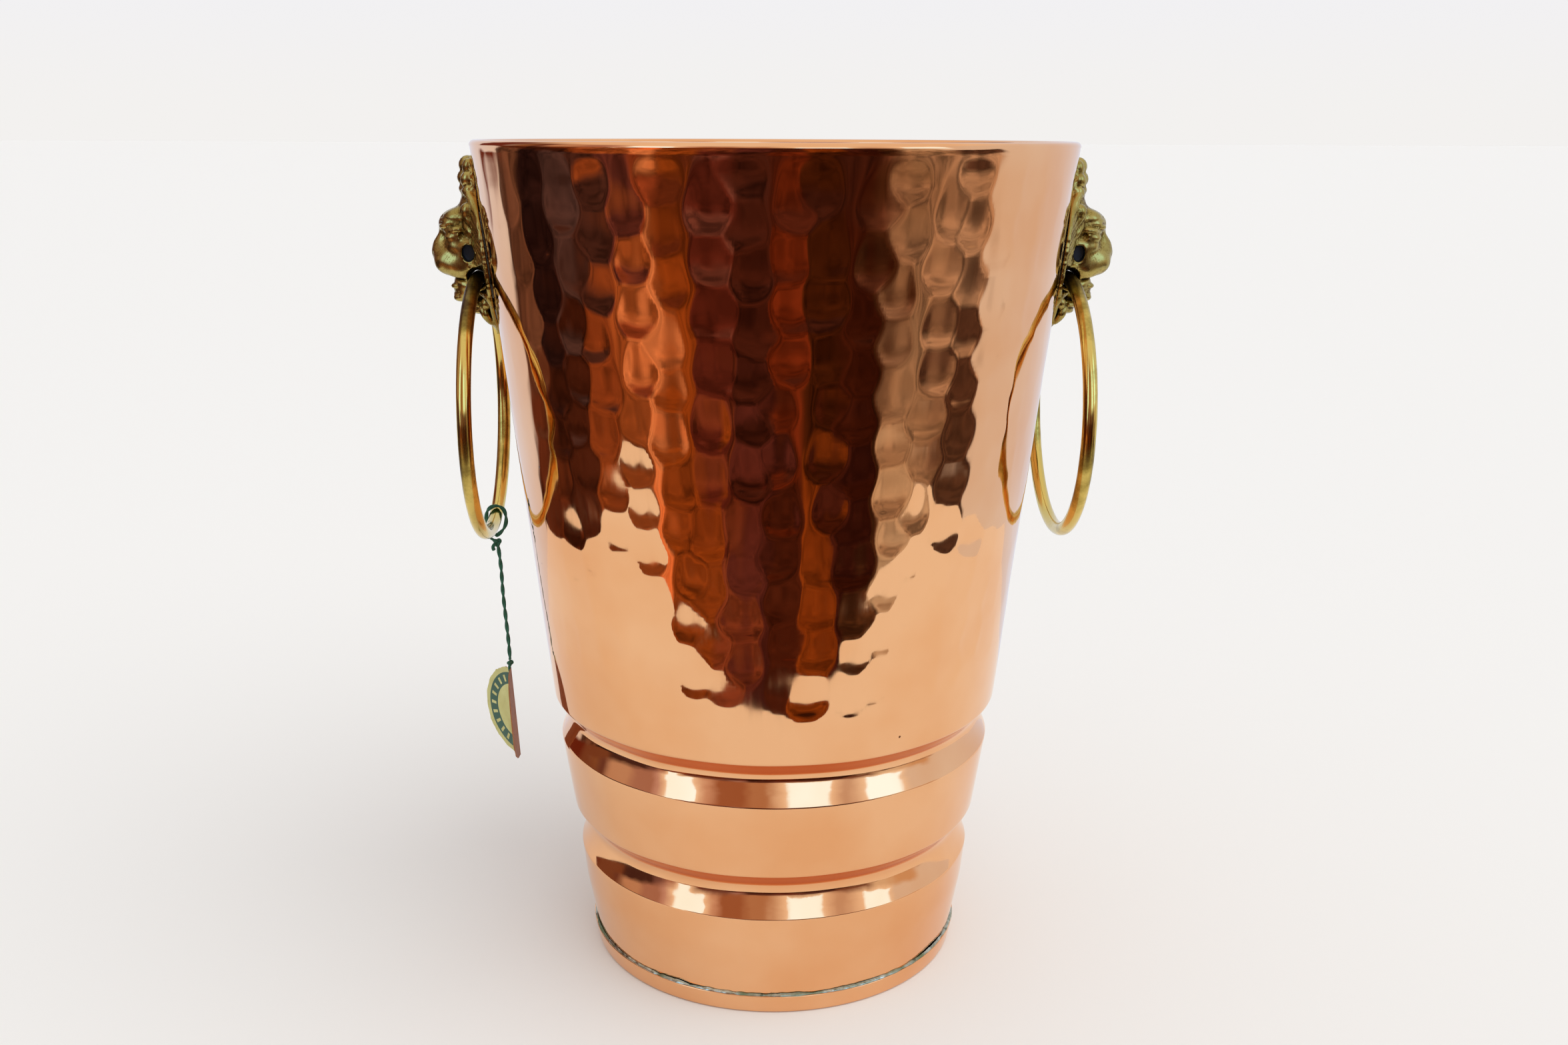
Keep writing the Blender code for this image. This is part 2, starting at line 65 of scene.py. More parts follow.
# The body's outside, in millimetres: radius, height and fillet, from the wall's foot down to the lower edge
RIM_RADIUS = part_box("body_shell")[1].y / MM
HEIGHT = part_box("body_shell")[1].z / MM
SHEET = 0.7
WALL_FOOT = (78.9, 95.5, 2.2)
FOOT_BEND = (69.6, 25.0, 60.0)
FOOT_EDGE = (65.1, 1.05, 0.0)
LOWER_CORNERS = (
    (73.1, 89.6, 6.3), (74.65, 84.6, 30.0), (76.8, 79.9, 1.6), (72.9, 53.8, 2.2),
    (66.9, 47.6, 6.0), (69.2, 40.9, 30.0), (70.9, 37.2, 1.6), FOOT_BEND, FOOT_EDGE,
)
WALL_SLOPE = (RIM_RADIUS - WALL_FOOT[0]) / (HEIGHT - WALL_FOOT[1])
WALL_LEAN = math.atan(WALL_SLOPE)

# The bead that the rim is rolled into: angles in degrees, from level with its centre on the outside
BEAD_RADIUS = 1.7
BEAD_CENTRE = Vector((RIM_RADIUS - BEAD_RADIUS, HEIGHT - BEAD_RADIUS))
BEAD_CREASE_SHARE = 0.25
BEAD_START = math.degrees(math.asin(-BEAD_CREASE_SHARE))
BEAD_END = 245
BEAD_STEPS_INSIDE = 6
BEAD_STEPS_OUTSIDE = 13

# Hammering: blows in upright columns, each a teardrop that is widest low down and pointed at its top
BLOW_COLUMNS = 52
BLOW_PITCH = 15.2
BLOW_WIDTH = 15.6
BLOW_TOP = 21.0
BLOW_BOTTOM = 6.6
BLOW_DEPTH = 0.34
TAIL_NARROWS = 0.62
TAIL_SHALLOWS = 0.8
RIDGE_SOFTNESS = 0.12
FIRST_BLOW_BELOW_RIM = 11.0
LAST_BLOW = 116.0
HAMMERED_DOWN_TO = 104.0
HAMMER_FADE = 7.0
HAMMER_ENDS_BELOW_RIM = (3.6, 8.1)
SIDE_CALM = 0.8
WAVE_HEIGHT = 0.03
WAVE_COUNT = 12
AROUND_HAMMERED = 720
AROUND_PLAIN = 360
AROUND_INSIDE = 180
ROW_STEP = 1.6

# Base pan and solder
PAN_SHEET = 0.75
FLANGE_HEIGHT = 6.7
SOLDER_WIDTH = 0.8
SOLDER_HEIGHT = 0.75
GAP = 0.3

# Masks
MASK_HEIGHT = 58.6
MASK_TOP_BELOW_RIM = 4.8
MASK_PLATE = 1.8
CLAY_CELL = 0.34
CLAY_MARGIN = 2.5
JAW_HALF = 6.0
CHEEK_HOLE = (27.4, 6.2)
SWING_ROOM = 0.55
CAST_ROUGHNESS = 0.03
CAST_WAVE = 3.6
HOLLOW_REACH = 0.8

# Rings. The seat is the bar's centre in the jaw, out from the wall and up the mask
RING_SEAT = (4.7, 18.64)
RING_RADIUS = 43.8
RING_BAR = 4.75
RING_PLAY = 0.8
RING_AROUND = 300
RING_SIDES = 32
PIT_DEPTH = 0.10

# String and tag
STRAND_RADIUS = 0.42
STRAND_OFFSET = 0.33
STRAND_PITCH = 9.5
STRAND_STEP = 0.28
END_BULGE = 0.6
LOOP_STRAND = 1.3
LOOP_DROP = 7.5
LOOP_SLACK = 0.18
LOOP_SHOULDER = math.radians(80)
STRING_LEAN = math.radians(16)
KNOT_RADIUS = 1.6
TAG_KNOT_RADIUS = 1.2
TAG_RADIUS = 17.5
TAG_THICKNESS = 0.42
TAG_FRONT_LEAF = math.radians(270)
TAG_BACK_LEAF = math.radians(132)
TAG_LEAN = math.radians(3.5)

# The string's own route, in metres, from its knot down to the knot at the card, from the middle of its loop
STRING_POINTS = (
    (0.0003, 0.0, -0.0122), (0.0009, 0.0002, -0.0200), (0.0012, 0.0000, -0.0290),
    (0.0018, -0.0002, -0.0380), (0.0024, -0.0001, -0.0470), (0.0027, 0.0, -0.0548),
)


# Small helpers


def linear(code):
    """An sRGB hex colour as linear RGBA."""
    parts = [int(code[i : i + 2], 16) / 255 for i in (1, 3, 5)]
    return (*(c / 12.92 if c <= 0.04045 else ((c + 0.055) / 1.055) ** 2.4 for c in parts), 1.0)


def add_node(tree, kind, inputs=(), to=None, stops=(), **settings):
    """Adds a node with its settings, inputs and colour stops.

    Inputs go by name, or in the order of the node's sockets. A node given as an input lends its first output,
    and a hex colour is made linear. to names the shader's input that the node feeds.
    """
    node = tree.nodes.new("ShaderNode" + kind)
    if kind == "Mix":
        node.data_type = "RGBA"
    for name, value in settings.items():
        setattr(node, name, value)
    used = [socket for socket in node.inputs if socket.enabled]
    for name, value in inputs.items() if isinstance(inputs, dict) else enumerate(inputs):
        socket = used[name] if isinstance(name, int) else next(s for s in used if s.name == name)
        if isinstance(value, bpy.types.Node):
            value = next(output for output in value.outputs if output.enabled)
        if isinstance(value, bpy.types.NodeSocket):
            tree.links.new(value, socket)
        else:
            socket.default_value = linear(value) if isinstance(value, str) else value
    for index, (position, colour) in enumerate(stops):
        elements = node.color_ramp.elements
        point = elements[0] if index == 0 else elements.new(position)
        point.position = position
        point.color = linear(colour)
    if stops:
        node.color_ramp.elements.remove(node.color_ramp.elements[-1])
    if to:
        result = next(output for output in node.outputs if output.enabled)
        tree.links.new(result, tree.nodes["Principled BSDF"].inputs[to])
    return node


def new_material(name, values):
    """A material with these values on its shader, a way to add its nodes, and the place on the object."""
    made = bpy.data.materials.new(name)
    made.use_nodes = True
    for socket, value in values.items():
        made.node_tree.nodes["Principled BSDF"].inputs[socket].default_value = value
    add = partial(add_node, made.node_tree)
    return made, add, add("TexCoord").outputs["Object"]


def turning_to(add, colour, other, value, start, end, to=None):
    """A colour that turns to another as a value goes from start to end."""
    share = add("MapRange", [value, start, end])
    return add("Mix", [share, colour, other], to=to)


def place_object(name, mesh, matrix=None):
    made = bpy.data.objects.new(name, mesh)
    bpy.context.scene.collection.objects.link(made)
    if matrix is not None:
        made.matrix_world = matrix
    return made


def settle(piece, body, node):
    """Puts a piece on the body it rides on, and hides the node that it stands for."""
    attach(piece, body)
    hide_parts(node)
    return piece


def mesh_of(name, points_mm, faces, materials, sharp_degrees=None):
    """A smooth-shaded mesh from points in millimetres."""
    mesh = bpy.data.meshes.new(name)
    points = np.asarray(points_mm, float) * MM
    mesh.from_pydata(points.tolist(), [], [tuple(map(int, face)) for face in faces])
    for finish in materials:
        mesh.materials.append(finish)
    mesh.shade_smooth()
    if sharp_degrees:
        mesh.set_sharp_from_angle(angle=math.radians(sharp_degrees))
    return mesh


def give_attribute(mesh, name, values):
    layer = mesh.attributes.new(name, "FLOAT", "POINT")
    layer.data.foreach_set("value", np.asarray(values, np.float32))


def ripple(points, seed, size_mm, terms=9):
    """Smooth pseudo-random values about zero, from waves with wavelengths near size_mm."""
    rng = np.random.default_rng(seed)
    total = np.zeros(points.shape[:-1])
    for _ in range(terms):
        way = rng.normal(size=3)
        way *= math.tau / (size_mm * rng.uniform(0.7, 1.6) * np.linalg.norm(way))
        total += np.sin(points @ way + rng.uniform(0, math.tau))
    return total / math.sqrt(terms)


def eased(values, start, end):
    """Zero below start, one above end, and a smooth step between."""
    share = np.clip((values - start) / (end - start), 0, 1)
    return share * share * (3 - 2 * share)


def angles_of(count):
    return np.arange(count) * math.tau / count


def build_camera():
    """A little above the rim and to the left of the front, looking down at the body."""
    camera = place_object("camera", bpy.data.cameras.new("camera"))
    camera.data.lens = CAMERA_LENS
    camera.data.sensor_width = CAMERA_SENSOR
    camera.data.sensor_fit = "HORIZONTAL"
    camera.data.clip_start, camera.data.clip_end = CAMERA_SEES
    level = Vector((math.sin(CAMERA_HEADING), math.cos(CAMERA_HEADING), 0))
    ahead = level * math.cos(CAMERA_PITCH) - Vector((0, 0, math.sin(CAMERA_PITCH)))
    right = Vector((math.cos(CAMERA_HEADING), -math.sin(CAMERA_HEADING), 0))
    up = right.cross(ahead)
    tilted_right = right * math.cos(CAMERA_ROLL) + up * math.sin(CAMERA_ROLL)
    tilted_up = up * math.cos(CAMERA_ROLL) - right * math.sin(CAMERA_ROLL)
    place = Matrix((tilted_right, tilted_up, -ahead)).transposed().to_4x4()
    back = Vector((math.sin(CAMERA_TURN), math.cos(CAMERA_TURN), 0)) * CAMERA_DISTANCE
    place.translation = Vector((0, 0, CAMERA_HEIGHT)) - back
    camera.matrix_world = place
    bpy.context.scene.camera = camera


# Sweeps


def ring_strip(first, second):
    """Faces between two closed rings of point numbers, of equal length or one twice as long as the other."""
    if len(first) == len(second):
        return np.stack([first, np.roll(first, -1), np.roll(second, -1), second], 1).tolist()
    flip = len(first) > len(second)
    few, many = (second, first) if flip else (first, second)
    faces = []
    for i, (start, end) in enumerate(zip(few, np.roll(few, -1))):
        left, middle, right = many[2 * i], many[2 * i + 1], many[(2 * i + 2) % len(many)]
        pair = [(start, end, right, middle), (start, middle, left)]
        faces += [face[::-1] for face in pair] if flip else pair
    return faces


def strips(count, around, closed=True):
    """Faces between each of count rings of points and the next, and from the last to the first if closed."""
    number = np.arange(count * around).reshape(count, around)
    faces = []
    for low, high in zip(number, np.roll(number, -1, 0) if closed else number[1:]):
        faces += ring_strip(low, high)
    return faces


def frames_along(line):
    """Two directions across a line at each of its points, turning as little as possible."""
    ahead = np.gradient(line, axis=0)
    ahead /= np.linalg.norm(ahead, axis=1)[:, None]
    side = np.cross(ahead[0], (0.37, 0.81, 0.45))
    sides = []
    for way in ahead:
        side = side - way * (side @ way)
        side /= np.linalg.norm(side)
        sides.append(side)
    sides = np.array(sides)
    return sides, np.cross(ahead, sides)


def tube(line, radii, sides=10, closed=False):
    """Points and faces of a tube along a line, with a radius at each point and rounded closed ends."""
    line = np.asarray(line, float)
    radii = np.broadcast_to(radii, len(line)).astype(float)
    across, up = frames_along(line)
    angles = angles_of(sides)[None, :, None]
    ring = np.cos(angles) * across[:, None] + np.sin(angles) * up[:, None]
    points = (line[:, None] + ring * radii[:, None, None]).reshape(-1, 3)
    faces = strips(len(line), sides, closed)
    if closed:
        return points, faces
    for first, at, before, turn in ((0, 0, 1, -1), (len(points) - sides, -1, -2, 1)):
        way = line[at] - line[before]
        points = np.vstack([points, line[at] + way / np.linalg.norm(way) * radii[at] * END_BULGE])
        tip = len(points) - 1
        for side in range(sides):
            edge = (first + side, first + (side + 1) % sides)
            faces.append((*edge[::turn], tip))
    return points, faces


def joined(parts):
    """Several (points, faces) as one."""
    points = []
    faces = []
    count = 0
    for some_points, some_faces in parts:
        points.append(some_points)
        faces += [tuple(int(i) + count for i in face) for face in some_faces]
        count += len(some_points)
    return np.vstack(points), faces


def smooth_line(points, steps):
    """A smooth curve through the points, with this many steps between each two."""
    points = np.asarray(points, float)
    ends = np.vstack([points[0], points, points[-1]])
    line = []
    for before, start, end, after in zip(ends, ends[1:], ends[2:], ends[3:]):
        for step in range(steps):
            t = step / steps
            pull, lead = (end - before) / 2, (after - start) / 2
            near = (2 * t**3 - 3 * t**2 + 1) * start + (t**3 - 2 * t**2 + t) * pull
            line.append(near + (3 * t**2 - 2 * t**3) * end + (t**3 - t**2) * lead)
    return np.array(line + [points[-1]])


def spaced(line, step):
    """The line again, with points about this far apart."""
    along = np.concatenate([[0], np.cumsum(np.linalg.norm(np.diff(line, axis=0), axis=1))])
    at = np.linspace(0, along[-1], max(2, round(along[-1] / step) + 1))
    return np.stack([np.interp(at, along, line[:, k]) for k in range(3)], 1)


def twisted(line, closed=False):
    """Two strands of cotton laid round each other along a line, in millimetres."""
    line = spaced(line, STRAND_STEP)
    if closed:
        line = line[:-1]
    across, up = frames_along(line)
    along = np.linspace(0, 1, len(line), endpoint=not closed)
    length = np.linalg.norm(np.diff(line, axis=0), axis=1).sum()
    turns = max(1, round(length / STRAND_PITCH)) if closed else length / STRAND_PITCH
    parts = []
    for start in (0, math.pi):
        angle = (along * turns * math.tau + start)[:, None]
        strand = line + STRAND_OFFSET * (np.cos(angle) * across + np.sin(angle) * up)
        parts.append(tube(strand, STRAND_RADIUS, closed=closed))
    return joined(parts)


# Sheet metal


def rounded(corners, steps=8):
    """The open line through the corners (x, y, fillet), each corner rounded by its own arc."""
    line = [Vector(corners[0][:2])]
    for before, corner, after in zip(corners, corners[1:], corners[2:]):
        point = Vector(corner[:2])
        if corner[2] <= 0:
            line.append(point)
            continue
        back, ahead = Vector(before[:2]) - point, Vector(after[:2]) - point
        half = back.angle(ahead) / 2
        reach = min(corner[2] / math.tan(half), 0.45 * back.length, 0.45 * ahead.length)
        back.normalize()
        ahead.normalize()
        centre = point + (back + ahead).normalized() * (reach / math.cos(half))
        start = point + back * reach - centre
        turn = start.angle_signed(point + ahead * reach - centre)
        line += [centre + Matrix.Rotation(-turn * step / steps, 2) @ start for step in range(steps + 1)]
    return line + [Vector(corners[-1][:2])]


def filled_in(line, step):
    """The line with points added so that none are further apart than step."""
    full = [line[0]]
    for start, end in zip(line, line[1:]):
        parts = max(1, math.ceil((end - start).length / step))
        full += [start.lerp(end, part / parts) for part in range(1, parts + 1)]
    return full


def inward(line, distance):
    """The line moved this far towards the axis, square to itself."""
    moved = []
    for index, point in enumerate(line):
        way = line[min(index + 1, len(line) - 1)] - line[max(index - 1, 0)]
        moved.append(point + distance * Vector((way.y, -way.x)).normalized())
    return moved


def circle(radius, height, angles):
    """Points round the upright axis. The radius is one number, or one for each angle."""
    return np.stack([radius * np.cos(angles), radius * np.sin(angles), np.full(len(angles), height)], 1)


def wall_radius(height):
    return WALL_FOOT[0] + (height - WALL_FOOT[1]) * WALL_SLOPE


def foot_radius(height):
    slope = (FOOT_BEND[0] - FOOT_EDGE[0]) / (FOOT_BEND[1] - FOOT_EDGE[1])
    return FOOT_EDGE[0] + (height - FOOT_EDGE[1]) * slope


def planned_blows():
    """Each hammer blow's angle, height, half width, reach up and down, depth and two small tilts."""
    rng = np.random.default_rng(SEED)
    blows = []
    for column in range(BLOW_COLUMNS):
        height = HEIGHT - FIRST_BLOW_BELOW_RIM - BLOW_PITCH * (0.5 * (column % 2) + rng.uniform(-0.2, 0.2))
        wander = rng.uniform(0, math.tau)
        while height > LAST_BLOW:
            turn = column + 0.22 * math.sin(height / 24 + wander) + rng.uniform(-0.15, 0.15)
            blows.append((
                math.tau * turn / BLOW_COLUMNS, height, BLOW_WIDTH / 2 * rng.uniform(0.85, 1.12),
                BLOW_TOP * rng.uniform(0.85, 1.12), BLOW_BOTTOM * rng.uniform(0.88, 1.12),
                rng.uniform(0.6, 1.3), rng.uniform(-0.15, 0.15), rng.uniform(-0.12, 0.12),
            ))
            height -= BLOW_PITCH * rng.uniform(0.82, 1.18)
    return blows


def hammered(angles, heights):
    """How far the hammered face lies inside its turned shape, for each height and angle, in millimetres."""
    level = np.zeros((len(heights), len(angles)))
    for centre, height, half_width, up, down, depth, lean, tip in planned_blows():
        arm = (RIM_RADIUS + wall_radius(height)) / 2
        turn = (angles - centre + math.pi) % math.tau - math.pi
        rows = np.where((heights > height - 1.2 * down) & (heights < height + 1.1 * up))[0]
        columns = np.where(abs(turn) * arm < 1.25 * half_width)[0]
        rise = (heights[rows] - height)[:, None]
        share = np.where(rise > 0, rise / up, rise / down)
        tail = np.clip(rise / up, 0, 1.1)
        width = half_width * (1 - TAIL_NARROWS * eased(tail, -0.1, 1.0))
        sideways = turn[columns][None] * arm / width
        bowl = depth * (1 - np.hypot(sideways, np.minimum(share, 0)) ** 3)
        bowl = bowl * (1 - TAIL_SHALLOWS * eased(tail, 0, 0.62)) + lean * sideways + tip * share
        place = np.ix_(rows, columns)
        ridge = np.maximum(RIDGE_SOFTNESS - abs(level[place] - bowl), 0) ** 2 / (4 * RIDGE_SOFTNESS)
        level[place] = np.maximum(level[place], bowl) + ridge
    level = (np.roll(level, 1, 1) + 4 * level + np.roll(level, -1, 1)) / 6
    fade = eased(heights, HAMMERED_DOWN_TO, HAMMERED_DOWN_TO + HAMMER_FADE)
    fade = fade * eased(HEIGHT - heights, *HAMMER_ENDS_BELOW_RIM)
    calm = 1 - SIDE_CALM * eased(abs(np.cos(angles)), 0.7, 0.9)
    return BLOW_DEPTH * level * fade[:, None] * calm


def waviness(angles, heights):
    """The slow unevenness that planishing leaves, in millimetres. It ends under the rim."""
    rng = np.random.default_rng(SEED + 1)
    total = np.zeros((len(heights), len(angles)))
    for _ in range(WAVE_COUNT):
        around, along = rng.integers(3, 17), rng.uniform(-0.11, 0.11)
        total += np.sin(around * angles[None] + along * heights[:, None] + rng.uniform(0, math.tau))
    return (WAVE_HEIGHT * total + 0.1) * np.clip((HEIGHT - 4 - heights) / 8, 0, 1)[:, None]


def bead_point(radius, share):
    """A point round the rim's wire, after this share of the way that the sheet is rolled."""
    angle = math.radians(BEAD_START + (BEAD_END - BEAD_START) * share)
    return BEAD_CENTRE + radius * Vector((math.cos(angle), math.sin(angle)))


def shell_sections():
    """The sheet's closed outline: down the outside, up the inside and round the bead.

    Each entry is a point, how many points go round there, the share of the dents that it takes and its
    finish: 0 for the polished outside and 1 for the inside. The outside's length comes second.
    """
    crease = BEAD_CENTRE.y - BEAD_CREASE_SHARE * BEAD_RADIUS
    upper = filled_in([Vector((wall_radius(z), z)) for z in (crease, HAMMERED_DOWN_TO - 2)], ROW_STEP)
    lower = filled_in(rounded([(*upper[-1], 0), WALL_FOOT, *LOWER_CORNERS], 6), 2 * ROW_STEP)[1:]
    inner = inward(filled_in(upper[::4] + lower[::2], 6.0), SHEET)[::-1]
    inside_bead = [
        bead_point(BEAD_RADIUS - SHEET, (step + 1) / BEAD_STEPS_INSIDE) for step in range(BEAD_STEPS_INSIDE)]
    outside_bead = [
        bead_point(BEAD_RADIUS, 1 - step / BEAD_STEPS_OUTSIDE) for step in range(BEAD_STEPS_OUTSIDE)]
    sections = []
    for line, around, dented, finish in (
        (upper, AROUND_HAMMERED, 1, 0), (lower, AROUND_PLAIN, 1, 0), (inner, AROUND_INSIDE, 1, 1),
        (inside_bead, AROUND_PLAIN, 0, 1), (outside_bead, AROUND_PLAIN, 0, 0),
    ):
        sections += [(point, around, dented, finish) for point in line]
    return sections, len(upper) + len(lower)


def painted_step_shade_of(radii, heights, outside):
    """One where the wall turns in under a step, where shade falls and the copper is painted darker for it,
    and zero elsewhere.
    """
    rows = np.arange(len(heights))
    under = np.gradient(radii) / np.gradient(heights + 1e-6 * rows)
    return eased(under, 0.45, 0.75) * (heights < WALL_FOOT[1]) * (rows < outside)


def build_shell(copper, inside_copper):
    """The body as one closed sheet, hammered outside, with its rim rolled round a wire."""
    sections, outside = shell_sections()
    heights = np.array([place.y for place, _, _, _ in sections])
    dents = {}
    for count in (AROUND_HAMMERED, AROUND_PLAIN, AROUND_INSIDE):
        dents[count] = hammered(angles_of(count), heights) + waviness(angles_of(count), heights)
    points = []
    rings = []
    total = 0
    for row, (place, count, dented, _) in enumerate(sections):
        points.append(circle(place.x - dented * dents[count][row], place.y, angles_of(count)))
        rings.append(total + np.arange(count))
        total += count
    faces = []
    finishes = []
    for (_, _, _, finish), low, high in zip(sections, rings, rings[1:] + rings[:1]):
        strip = ring_strip(low, high)
        faces += [face[::-1] for face in strip]
        finishes += [finish] * len(strip)
    mesh = mesh_of("body_sheet", np.vstack(points), faces, [copper, inside_copper], 24)
    mesh.polygons.foreach_set("material_index", finishes)
    # Where the wall turns in under a step, for the painted shade there
    recess = painted_step_shade_of([place.x for place, _, _, _ in sections], heights, outside)
    give_attribute(mesh, "recess", np.repeat(recess, [count for _, count, _, _ in sections]))
    settle(place_object("hammered_body", mesh), "bucket", "body_shell")


def turned(outline, count, shape):
    """A closed outline of (radius, height) turned about the upright axis. shape then moves the points."""
    points = shape(np.array([circle(x, z, angles_of(count)) for x, z in outline]))
    return points.reshape(-1, 3), strips(len(outline), count)


def build_pan(copper):
    """The flat bottom: its floor inside and underneath, and the short flange outside the body's foot."""
    reach = GAP + PAN_SHEET
    top = FLANGE_HEIGHT
    outline = rounded([
        (0.02, 0.0, 0), (foot_radius(0) + reach, 0.0, 1.2), (foot_radius(top) + reach, top, 0.25),
        (foot_radius(top) + GAP, top, 0.2), (foot_radius(PAN_SHEET) + GAP, PAN_SHEET, 0.45),
        (0.02, PAN_SHEET, 0),
    ])

    def beaten(points):
        """The flange is beaten close by hand, so that it waves a little in and out."""
        wave = 0.07 * ripple(points * (1, 1, 0.2), SEED + 2, 26) * np.clip(points[..., 2] / top, 0, 1)
        out = np.maximum(np.hypot(points[..., 0], points[..., 1]), 1)
        return points + (wave / out)[..., None] * points * (1, 1, 0)

    points, faces = turned(filled_in(outline, 4.0), 256, beaten)
    pan = place_object("bottom_pan", mesh_of("bottom_pan", points, faces, [copper], 40))
    settle(pan, "bucket", "base_pan")


def build_solder(tin):
    """The bead of solder along the flange's top, wiped by hand: its width and height wander."""
    low = FLANGE_HEIGHT + 0.05
    inner = foot_radius(low) + 0.1
    outer = inner + SOLDER_WIDTH
    crown = [(inner + SOLDER_WIDTH * math.cos(a) ** 1.3, low + SOLDER_HEIGHT * math.sin(a))
             for a in (0.35, 0.75, 1.1, 1.4)]
    outline = [(inner, low), (outer, low), *crown, (inner + 0.05, low + 0.8)]

    def wiped(points):
        ring = points[:1] * (1, 1, 0)
        lump = 0.82 + 0.16 * ripple(ring, SEED + 3, 9)[0] + 0.12 * ripple(ring, SEED + 4, 3)[0]
        x, y, z = np.moveaxis(points, -1, 0)
        out = np.hypot(x, y)
        scale = (inner + (out - inner) * np.clip(lump, 0.5, 1.15)) / out
        return np.stack([x * scale, y * scale, low + (z - low) * np.clip(lump, 0.35, 1.25)], -1)

    points, faces = turned(outline, 720, wiped)
    solder = place_object("solder_line", mesh_of("solder_line", points, faces, [tin], 60))
    settle(solder, "bucket", "base_solder")


# Clay: a block of distances in which the lion's head is modelled, then given a skin


def away_from(line, sizes, grids):
    """How far each grid point lies outside a row of balls, given by their centres and sizes."""
    best = np.inf
    for start, end, near, far in zip(line, line[1:], sizes, sizes[1:]):
        way = end - start
        gaps = [grid - x for grid, x in zip(grids, start)]
        share = np.clip(sum(gap * x for gap, x in zip(gaps, way)) / (way @ way), 0, 1)
        square = sum((gap - share * x) ** 2 for gap, x in zip(gaps, way))
        best = np.minimum(best, np.sqrt(square) - (near + (far - near) * share))
    return best


class Clay:
    """Signed distances over (across, up, out) in millimetres, negative inside. Only across >= 0 is kept."""

    def __init__(self, low, high, cell):
        self.cell = cell
        self.axes = [np.arange(a, b + cell, cell) for a, b in zip(low, high)]
        self.field = np.full([len(axis) for axis in self.axes], 9.0)

    def part(self, low, high, margin=0.0):
        """The slices of the grid round a box, and the coordinates there."""
        cuts = []
        for axis, start, end in zip(self.axes, low, high):
            first, last = np.searchsorted(axis, (start - margin, end + margin))
            cuts.append(slice(max(first - 1, 0), max(last, 1)))
        grids = np.meshgrid(*(axis[cut] for axis, cut in zip(self.axes, cuts)), indexing="ij", sparse=True)
        return tuple(cuts), grids

    def work(self, low, high, distance, soft, carve=False):
        """Adds the shape inside a box, or carves it out, and rounds the join."""
        where, grids = self.part(low, high, CLAY_MARGIN)
        sign, outer = (-1, np.maximum) if carve else (1, np.minimum)
        new, old = sign * distance(*grids), self.field[where]
        near = np.maximum(soft - abs(old - new), 0) / soft
        self.field[where] = outer(old, new) - sign * near**2 * soft / 4

    def lump(self, centre, radii, soft=0.8, tilt=0.0, carve=False):
        """An ellipsoid, tilted about the way out of the wall by an angle in degrees."""
        turn, lean = math.cos(math.radians(tilt)), math.sin(math.radians(tilt))

        def distance(u, v, w):
            du, dv, dw = u - centre[0], v - centre[1], w - centre[2]
            a, b, c = (du * turn + dv * lean) / radii[0], (dv * turn - du * lean) / radii[1], dw / radii[2]
            length = np.sqrt(a * a + b * b + c * c) + 1e-9
            slope = np.sqrt((a / radii[0]) ** 2 + (b / radii[1]) ** 2 + (c / radii[2]) ** 2) + 1e-9
            return length * (length - 1) / slope

        low, high = [[x + sign * max(radii) for x in centre] for sign in (-1, 1)]
        self.work(low, high, distance, soft, carve)

    def lock(self, points, radii, soft=0.35, carve=False):
        """A tapered strand through the points."""
        line = smooth_line(points, 5)
        sizes = np.interp(np.linspace(0, 1, len(line)), np.linspace(0, 1, len(radii)), radii)
        low, high = line.min(0) - max(radii), line.max(0) + max(radii)
        self.work(low, high, lambda *grids: away_from(line, sizes, grids), soft, carve)

    def groove(self, points, width, depth):
        """A line pressed into the surface: points are (across, up), and it goes in square to the surface."""
        line = smooth_line(points, 5)
        out = self.axes[2]
        where, grids = self.part([*(line.min(0) - 3 * width), out[0]], [*(line.max(0) + 3 * width), out[-1]])
        away = away_from(line, np.zeros(len(line)), grids[:2])
        self.field[where] = self.field[where] + depth * np.exp(-(away**2) / width**2)

    def pit(self, centre, size, depth):
        where, grids = self.part([x - 3 * size for x in centre], [x + 3 * size for x in centre])
        away = sum((grid - x) ** 2 for grid, x in zip(grids, centre))
        self.field[where] = self.field[where] + depth * np.exp(-away / size**2)

    def whole(self):
        """The field with its mirror image, and the place of its first corner."""
        field = np.concatenate([self.field[:0:-1], self.field], 0)
        return field, np.array([-self.axes[0][-1], self.axes[1][0], self.axes[2][0]])


def relaxed(points, faces, rounds):
    """The skin with each point drawn towards the middle of its neighbours, a few times over."""
    pairs = np.vstack([faces[:, [i, (i + 1) % 4]] for i in range(4)])
    for _ in range(rounds):
        total = np.zeros_like(points)
        count = np.zeros(len(points))
        for a, b in (pairs.T, pairs.T[::-1]):
            np.add.at(total, a, points[b])
            np.add.at(count, a, 1)
        points = 0.5 * points + 0.5 * total / count[:, None]
    return points


def halves(axis, width):
    """Slices that leave off the last and the first width entries along an axis."""
    before, after = [slice(None)] * 3, [slice(None)] * 3
    before[axis], after[axis] = slice(0, -width), slice(width, None)
    return tuple(before), tuple(after)


